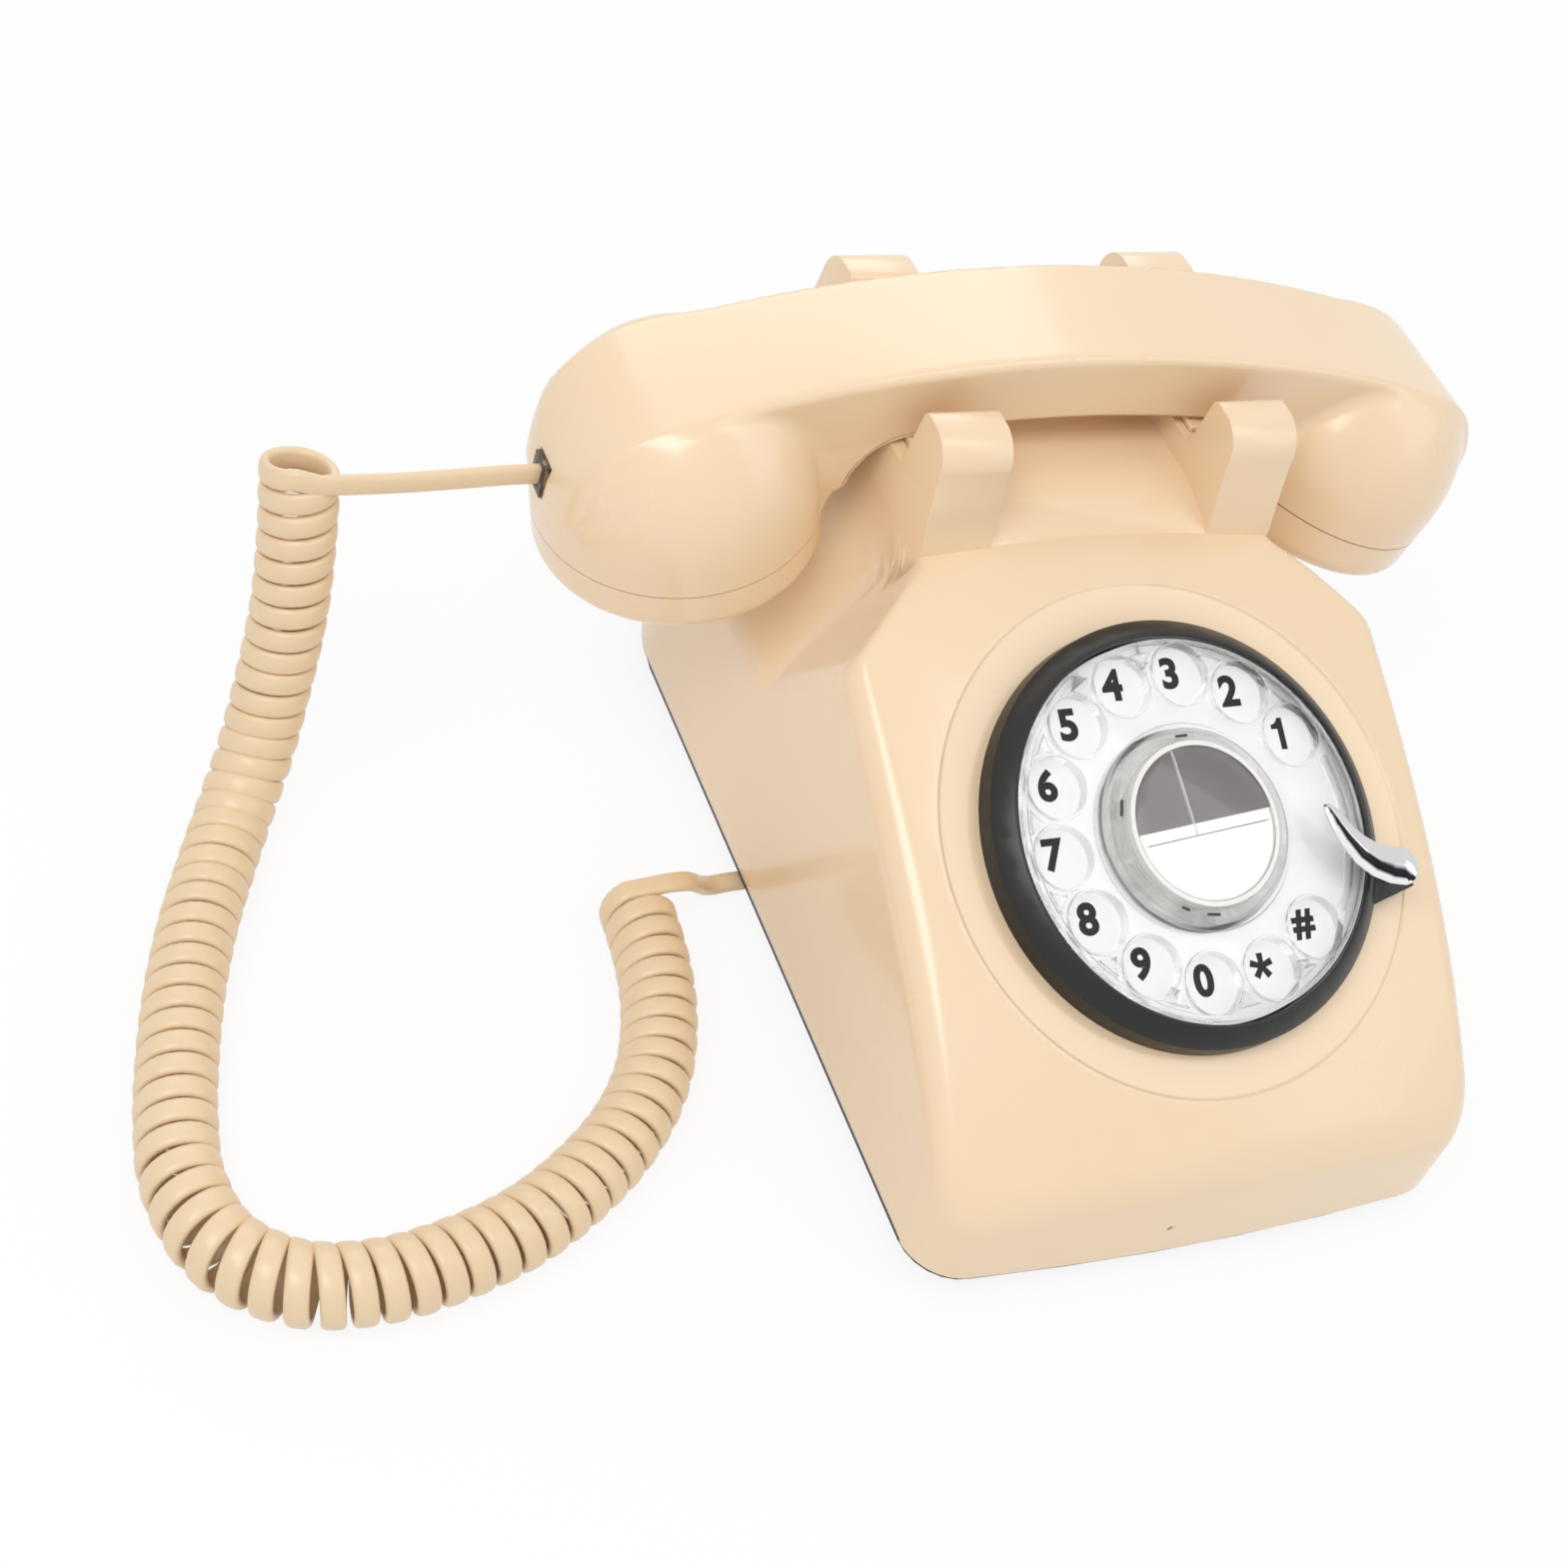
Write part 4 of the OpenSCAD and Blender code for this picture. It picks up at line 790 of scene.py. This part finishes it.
def housing_form(p, inset):
    """Plan and face, then three planes that cut the shoulder under a cup, from the top down."""
    x, z = np.abs(p[:, 0]), p[:, 2]
    lean = WALL_LEAN * np.maximum(0, z - SHELL_Z) / TOWER
    y = p[:, 1].copy()
    for _ in range(5):
        y = p[:, 1] + lean * (np.maximum(0, y) / 103) ** 2
    front = -y - 2 * (1 - np.minimum(1, (x / 51.5) ** 2))
    rear = y - (1 - np.minimum(1, (x / 29.5) ** 2))
    plan = np.where(y < 0, rounded_corner(x, front, FRONT, FRONT_CORNER),
                    rounded_corner(x, rear, REAR, REAR_CORNER))
    top = (z - face_height(x, y)) * 0.92
    body = round_max(plan, top, FACE_ROUND)
    scoop = round_min(x - 42, 0.962 * (x - 42) + 0.272 * (z - 80.6), 2.0)
    scoop = round_min(scoop, 0.7724 * (x - 45) + 0.6351 * (z - 70), 3.0)
    lean_cut = (x - 62.3) * 0.7014 + (p[:, 1] + 4) * 0.552 + (z - 79) * 0.4509
    scoop = round_min(scoop, lean_cut, 1.5)
    return np.maximum(round_max(body, scoop, 1.3), SHELL_Z - 3 - z) + inset


# %% Housing net
HOUSING_VOXEL, INNER_VOXEL = 1.25 * MM, 4 * MM
ROUGH_SIDE = [(-100, 2), (-100, 30), (-60, 56), (0, 86), (30, 89), (94, 88), (100, 2)]
WALL = 2.6


def housing_net(inset, size):
    net = remeshed(slab_bm(ROUGH_SIDE, -60, 60, "YZ"), size)
    return settle(net, lambda p: housing_form(p, inset), rounds=14, relax=3)


housing = show(housing_net(0, HOUSING_VOXEL), "housing_moulding")
print("housing net", len(housing.data.vertices), "points")

# %% Cradle prongs
FOOT = CRADLE_Y - 36.4
PRONG_IN, PRONG_OUT = 26, 42


def both_ways(side):
    """A side outline and its mirror image across the handset."""
    return side + [(2 * CRADLE_Y - y, z) for y, z in side[::-1]]


prong_side = both_ways(
    [(FOOT, 78), (FOOT, 88.8), (FOOT + 2.6, 100.5)] + arc_points(FOOT + 11, 106, 7.5, 180, 100, 10)
    + arc_points(FOOT + 14, 111.5, 2, 90, 10, 4) + [(FOOT + 17.5, 101), (FOOT + 18.5, 101)])
deck_side = both_ways([(FOOT - 1, 78), (FOOT - 1, 88), (FOOT + 1, 90), (FOOT + 12.6, 93.6),
                       (FOOT + 20, 93.8), (FOOT + 28, 94.1)])


def rolled(bm, radius):
    sharp = [e for e in bm.edges
             if len(e.link_faces) == 2 and e.calc_face_angle(0) > math.radians(30)]
    bmesh.ops.bevel(bm, geom=sharp, offset=radius * MM, affect="EDGES", segments=3,
                    profile=0.5, material=-1, clamp_overlap=True)
    return bm


for side in (-1, 1):
    low, high = sorted((side * PRONG_IN, side * PRONG_OUT))
    prongs = show(slab_bm(prong_side, low, high, "YZ"), "prongs")
    carved(prongs, show(arch_bm(ARCH_LOW - 1.5, ARCH_R + 8, 18.5, 12), "saddle_cut"))
    bm = bmesh.new()
    bm.from_mesh(prongs.data)
    bmesh.ops.remove_doubles(bm, verts=bm.verts, dist=2e-5)
    bmesh.ops.dissolve_limit(bm, angle_limit=math.radians(2), verts=bm.verts, edges=bm.edges)
    bpy.data.objects.remove(prongs)
    carved(housing, show(rolled(bm, 1.1), "prongs"), "UNION")
carved(housing, show(slab_bm(deck_side, -26.4, 26.4, "YZ"), "deck"), "UNION")

# %% Dish, well and openings
DISH, BEZEL_R = 0.5, 44.5
RIM = [(52.7, -DISH), (52.95, -DISH + 0.02), (53.2, -DISH + 0.1), (53.45, -DISH + 0.26),
       (53.7, -0.12), (53.95, -0.03), (54.3, 0.03), (54.3, 9)]
dish = turned_bm([(0, -1), (BEZEL_R + 0.2, -1), *RIM, (0, 9)], 240, DIAL)
carved(housing, show(dish, "dish"))
carved(housing, show(housing_net(WALL, INNER_VOXEL), "inner_form"))
carved(housing, show(box_bm((-90, -130, -10), (90, 130, SHELL_Z)), "below"))
carved(housing, show(pin_bm(42, -22, 12, 160, DIAL), "well"))
for side in (-1, 1):
    low, high = sorted((side * 28.0, side * 39.0))
    slot = box_bm((low, CRADLE_Y - 15.3, 74), (high, CRADLE_Y + 15.3, 120))
    carved(housing, show(slot, "plunger_slot"))
carved(housing, show(box_bm((22 - 7.55, 92, 2), (22 + 7.55, 110, 18.5)), "line_hole"))
carved(housing, show(box_bm((-27.5, 92, 19.7), (-16.5, 110, 24.3)), "ringer_slot"))
at_front = moved(-10.4, -103, 13.5) @ Matrix.Rotation(math.radians(90), 4, "X")
carved(housing, show(pin_bm(0.7, -8, 8, 24, at_front), "voice_hole"))
bm = bmesh.new()
bm.from_mesh(housing.data)
bmesh.ops.remove_doubles(bm, verts=bm.verts, dist=SAME_POINT)
bpy.data.objects.remove(housing)
housing = show(bm, "housing_moulding", 40)
dress(housing, glossy_abs)
stand_for(housing, "base", "cream_plastic", "housing")

# %% [markdown]
# ## The finger wheel
# The wheel is one clear acrylic moulding. From above it has a rim, a boss and a collar round each
# hole. From below, small pockets between the holes keep the moulding thin, and their edges show
# through it as fine dark lines.

# %% Pockets under the wheel
HOLE_COUNT, HOLE_CIRCLE, HOLE_R, FIRST, STEP = 12, 31.6, 6.2, 31.7, 25.6
WHEEL_LOW, POCKET_IN, POCKET_OUT, POCKET_TOP, WEB_TOP = 4.8, 35.0, 36.7, 6.0, 6.8


def turned_to(angle):
    return DIAL @ Matrix.Rotation(math.radians(angle), 4, "Z")


def flat_piece(outline, low, high, angle=0.0):
    """An outline on the dial's plane, turned by an angle in degrees and given two heights."""
    bm = slab_bm(outline, low, high, "XY")
    bmesh.ops.transform(bm, matrix=turned_to(angle), verts=bm.verts)
    return bm


def pocket_outline():
    """The space between two neighbouring collars and the rim, centred on the x axis."""
    half = math.radians(STEP / 2)
    cx, cy, r = HOLE_CIRCLE * math.cos(half), HOLE_CIRCLE * math.sin(half), HOLE_R + 1.25
    side = [(cx + r * math.cos(math.radians(a)), cy + r * math.sin(math.radians(a)))
            for a in (-68, -60, -52, -44, -37)]
    out = math.degrees(math.atan2(side[-1][1], side[-1][0]))
    rim = arc_points(0, 0, POCKET_OUT, -out, out, 4)
    return [(x, -y) for x, y in side] + rim + side[::-1]


def long_pocket_outline():
    return arc_points(0, 0, POCKET_OUT, -34, 19, 24) + arc_points(0, 0, POCKET_IN, 19, -34, 24)


# %% Wheel
wheel = softened("finger_wheel", acrylic)
pockets = [(FIRST + STEP * (k + 0.5), pocket_outline()) for k in range(HOLE_COUNT - 1)]
pockets.append((0, long_pocket_outline()))
for angle, outline in pockets:
    carved(wheel, show(flat_piece(outline, WHEEL_LOW - 1, POCKET_TOP, angle), "pocket"))
collar = [(HOLE_R + out, WEB_TOP + up) for out, up in (
    (0.05, -0.3), (0.6, -0.3), (0.6, 0.25), (0.45, 0.5), (0.2, 0.5), (0.05, 0.25))]
for k in range(HOLE_COUNT):
    at_hole = turned_to(FIRST + STEP * k) @ Matrix.Translation((HOLE_CIRCLE * MM, 0, 0))
    carved(wheel, show(turned_bm(collar, 48, at_hole), "collar"), "UNION")
wheel.data.shade_smooth()
wheel.data.set_sharp_from_angle(angle=math.radians(SHARP))
roll_edges(wheel, 0.0002)
print("finger wheel faces", len(wheel.data.polygons))

# %% [markdown]
# ## The centre of the dial
# The button holds a round card under a clear lens. The card's upper part is grey and its lower part
# white, with thin ruled lines, and no words. Black catches show in the clear ring round it.

# %% Card, lens and catches
CARD_TOP, CARD_R, CARD_TURN = 9.7, 15.7, 5.1
INK_TOP = CARD_TOP + 0.03
# A thin dark ring at the card's rim is painted shadow.
SHADOW_RING_IN, SHADOW_RING_OUT, SHADOW_RING_TOP = 15.66, 15.86, CARD_TOP + 0.08
LENS_R = 15.88
CATCHES = ((164, 3.4), (263, 2.8), (91, 2.6), (243, 1.8))


def bar(x0, x1, y0, y1):
    return [(x0, y0), (x1, y0), (x1, y1), (x0, y1)]


def on_button(bm, name, material):
    piece = show(bm, name)
    dress(piece, material)
    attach(piece, "button")


edge_angle = math.degrees(math.asin(0.28 / CARD_R))
upper_part = arc_points(0, 0, CARD_R, edge_angle, 180 - edge_angle, 64)
on_button(flat_piece(upper_part, CARD_TOP, INK_TOP, CARD_TURN),
          "card_upper_part", card_grey)
on_button(flat_piece(bar(-2.9, -2.65, 0.3, 15.3), INK_TOP, CARD_TOP + 0.05, CARD_TURN),
          "card_divider", card_white)
lines = merge_bm(flat_piece(bar(-14.4, 14.4, -2.25, -2.05), CARD_TOP, INK_TOP, CARD_TURN),
                 flat_piece(bar(-2.85, -2.7, -2.05, 0.2), CARD_TOP, INK_TOP, CARD_TURN))
on_button(lines, "card_ruled_lines", digit_ink)
# The dark ring round the card is painted shadow, where the card's edge falls in shade.
on_button(turned_bm(bar(SHADOW_RING_IN, SHADOW_RING_OUT, CARD_TOP, SHADOW_RING_TOP), 128, DIAL),
          "card_painted_shadow_ring", dark_nylon)
dress(NODES["button_card"], card_white)
dress(NODES["centre_button"], natural_acetal)
lens_side = [(r, CARD_TOP + up) for r, up in (
    (0, 0.12), (LENS_R, 0.12), (LENS_R, 0.5), (LENS_R - 0.3, 0.75), (14.7, 1.3), (0, 1.45))]
lens = show(turned_bm(lens_side, 128, DIAL), "button_lens_moulding", 20)
dress(lens, acrylic)
stand_for(lens, "button", "clear_plastic", "button_lens")
catches = show(merge_bm(*[flat_piece(bar(18.0, 18.5, -wide / 2, wide / 2), 8.6, 9.02, angle)
                          for angle, wide in CATCHES]), "ring_catches")
dress(catches, black_abs)
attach(catches, "dial_wheel")

# %% [markdown]
# ## The finger stop
# A pressed and chromed steel blade. It is thin and rounded at its tip and ends in a broad, slightly
# crowned tab that stands on the black lug of the bezel.

# %% Finger stop
STOP_LOW, STOP_T, STOP_CROWN, STOP_VOXEL = 11.0, 1.3, 0.9, 0.22 * MM
STOP_OUTLINE = np.array(
    [(27.3, 0.1), (27.4, -1.6), (28.1, -4.4), (29.6, -8), (32, -12.2), (35, -15), (39, -17)]
    + arc_points(42.8, -13.8, 4, -110, 85, 10)
    + [(38.8, -8.9), (35.5, -6.7), (33, -4), (31.1, -1.4), (29.6, 0.3), (28.7, 0.8), (27.8, 0.8)])
TO_DIAL = np.array(DIAL.inverted())


def outline_distance(points, outline):
    """Signed distance to a closed flat outline, negative inside."""
    near, inside = np.full(len(points), 1e9), np.zeros(len(points), bool)
    for (ax, ay), (bx, by) in zip(outline, np.roll(outline, -1, axis=0)):
        ex, ey = bx - ax, by - ay
        px, py = points[:, 0] - ax, points[:, 1] - ay
        t = np.clip((px * ex + py * ey) / (ex * ex + ey * ey), 0, 1)
        near = np.minimum(near, np.hypot(px - t * ex, py - t * ey))
        spans = (ay > points[:, 1]) != (by > points[:, 1])
        inside ^= spans & (px < ex * py / (ey if ey else 1e-9))
    return np.where(inside, -near, near)


def stop_form(p):
    flat = (p * MM) @ TO_DIAL[:3, :3].T + TO_DIAL[:3, 3]
    x, y, h = (flat / MM).T
    side = outline_distance(np.column_stack([x, y]), STOP_OUTLINE)
    crown = STOP_CROWN * (1 - np.exp(np.minimum(side, 0) / 1.6))
    above = h - STOP_LOW - STOP_T + 0.75 - crown
    return round_max(round_max(side, above, 0.5), STOP_LOW - h, 0.3)


stop_block = flat_piece(STOP_OUTLINE, STOP_LOW, STOP_LOW + STOP_T)
stop_bm = settle(remeshed(stop_block, STOP_VOXEL), stop_form, rounds=6, relax=4)
stop_post = pin_bm(1.6, 4.2, 11.4, 32, DIAL @ moved(45, -13.8, 0))
stop = show(merge_bm(stop_bm, stop_post), "finger_stop_blade", 50)
# The blade's chrome carries painted reflection: a dark band and a white highlight.
dress(stop, blade_chrome_painted_reflection)
stand_for(stop, "base", "chrome", "finger_stop")

# %% [markdown]
# ## Numbers
# Twelve printed characters stand on the white plate, one under each finger hole. A sans-serif
# letter is made bold by growing its outline, and each is set to one height.

# %% Numbers on the plate
MARKS = "1234567890*#"
MARK_HEIGHT = {"#": 0.0062}
DIGIT_HEIGHT, WIDENING = 0.0067, 1.02
MARK_SHIFT = (-0.1, 1.3)
PRINT_LOW, PRINT_HIGH, PRINT_MIDDLE = 3.41, 3.47, 3.44


def printed(text, height, x, y):
    """One bold character, scaled to its height in metres and laid on the dial at x, y in mm."""
    font = bpy.data.curves.new("mark", "FONT")
    font.body = text
    font.size = 0.01
    font.extrude = 0.00003
    font.offset = 0.0004
    font.resolution_u = 6
    holder = bpy.data.objects.new("mark", font)
    bpy.context.scene.collection.objects.link(holder)
    bpy.context.view_layer.update()
    mesh = bpy.data.meshes.new_from_object(holder)
    bpy.data.objects.remove(holder)
    co = np.array([v.co for v in mesh.vertices])
    middle, tall = (co.max(0) + co.min(0)) / 2, np.ptp(co[:, 1])
    mesh.transform(Matrix.Diagonal((WIDENING * height / tall, height / tall, 1, 1))
                   @ Matrix.Translation((-middle[0], -middle[1], 0)))
    mesh.transform(DIAL @ moved(x, y, PRINT_MIDDLE))
    return mesh


def star_outline(arms, reach, thick):
    """Straight arms, a little wider at their ends, that meet in notches round the middle."""
    outline = []
    for k in range(arms):
        a, notch = math.radians(90 + 360 * k / arms), math.radians(90 + 360 * (k + 0.5) / arms)
        for across in (-thick * 0.62, thick * 0.62):
            outline.append((reach * math.cos(a) - across * math.sin(a),
                            reach * math.sin(a) + across * math.cos(a)))
        depth = thick / 2 / math.sin(math.pi / arms)
        outline.append((depth * math.cos(notch), depth * math.sin(notch)))
    return outline


ONE = [(-0.3, -3.35), (1.1, -3.35), (1.1, 3.35), (0, 3.35), (-0.35, 2.65), (-0.9, 2.2),
       (-1.75, 2.0), (-1.75, 1.05), (-0.3, 1.05)]
DRAWN = {"1": ONE, "*": star_outline(5, 2.65, 1.15)}

bm = bmesh.new()
for i, mark in enumerate(MARKS):
    a = math.radians(FIRST + STEP * i)
    x, y = HOLE_CIRCLE * math.cos(a) + MARK_SHIFT[0], HOLE_CIRCLE * math.sin(a) + MARK_SHIFT[1]
    if mark in DRAWN:
        outline = [(x + px, y + py) for px, py in DRAWN[mark]]
        bm = merge_bm(bm, flat_piece(outline, PRINT_LOW, PRINT_HIGH))
    else:
        bm.from_mesh(printed(mark, MARK_HEIGHT.get(mark, DIGIT_HEIGHT), x, y))
numbers = show(bm, "dial_numbers")
dress(numbers, digit_ink)
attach(numbers, "base")
print("numbers", len(numbers.data.polygons), "faces")

# %% [markdown]
# ## Floor and light
# A white floor that keeps a faint shadow, a bright sky and four soft lamps.

# %% Floor
FLOOR_SHARE, SKY_STRENGTH = 0.87, 0.58

floor_bm = bmesh.new()
bmesh.ops.create_grid(floor_bm, x_segments=2, y_segments=2, size=12)
floor = show(floor_bm, "floor")


def seen_rays(tree):
    """1 for what the camera sees, also in a reflection or through glass, else 0."""
    path = add(tree, "ShaderNodeLightPath")
    seen = path.outputs["Is Camera Ray"]
    for kind in ("Is Glossy Ray", "Is Transmission Ray"):
        either = add(tree, "ShaderNodeMath", links={0: seen, 1: path.outputs[kind]},
                     operation="MAXIMUM")
        seen = either.outputs[0]
    return seen


def white_where_seen(name, colour):
    material, tree, shader = new_material(name, **{"Base Color": srgb(colour), "Roughness": 0.6})
    glow = add(tree, "ShaderNodeEmission", {"Color": (1, 1, 1, 1), "Strength": 1.0})
    share = add(tree, "ShaderNodeMath", {1: FLOOR_SHARE}, {0: seen_rays(tree)},
                operation="MULTIPLY")
    mix = add(tree, "ShaderNodeMixShader",
              links={0: share.outputs[0], 1: shader.outputs[0], 2: glow.outputs[0]})
    out = next(n for n in tree.nodes if n.type == "OUTPUT_MATERIAL")
    tree.links.new(mix.outputs[0], out.inputs["Surface"])
    return material


dress(floor, white_where_seen("white_floor", "#F4F4F4"))

# %% World and lamps
world = bpy.data.worlds.new("studio")
bpy.context.scene.world = world
world.use_nodes = True
tree = world.node_tree
tree.nodes.clear()
sky = add(tree, "ShaderNodeBackground", {"Color": (1, 1, 1, 1), "Strength": SKY_STRENGTH})
plain = add(tree, "ShaderNodeBackground", {"Color": (1, 1, 1, 1), "Strength": 1.0})
mix = add(tree, "ShaderNodeMixShader",
          links={0: seen_rays(tree), 1: sky.outputs[0], 2: plain.outputs[0]})
add(tree, "ShaderNodeOutputWorld", links={"Surface": mix.outputs[0]})


def softbox(name, place, aim, size, power):
    light = bpy.data.lights.new(name, "AREA")
    light.shape = "RECTANGLE"
    light.size, light.size_y = size
    light.energy = power
    lamp = bpy.data.objects.new(name, light)
    bpy.context.scene.collection.objects.link(lamp)
    lamp.location = place
    lamp.rotation_euler = (Vector(aim) - Vector(place)).to_track_quat("-Z", "Y").to_euler()


softbox("key", (-0.55, -0.35, 0.95), (0, 0, 0.05), (0.7, 0.5), 4.6)
softbox("fill", (0.75, -0.5, 0.6), (0, 0, 0.05), (0.6, 0.6), 0.8)
softbox("glance", (0.33, -0.29, 0.95), (-0.05, -0.04, 0.07), (0.3, 0.5), 0.9)
softbox("back", (0.1, 0.9, 0.7), (0, 0, 0.08), (0.9, 0.4), 2)

# %% Colour handling and closing
bpy.context.scene.view_settings.view_transform = "Standard"
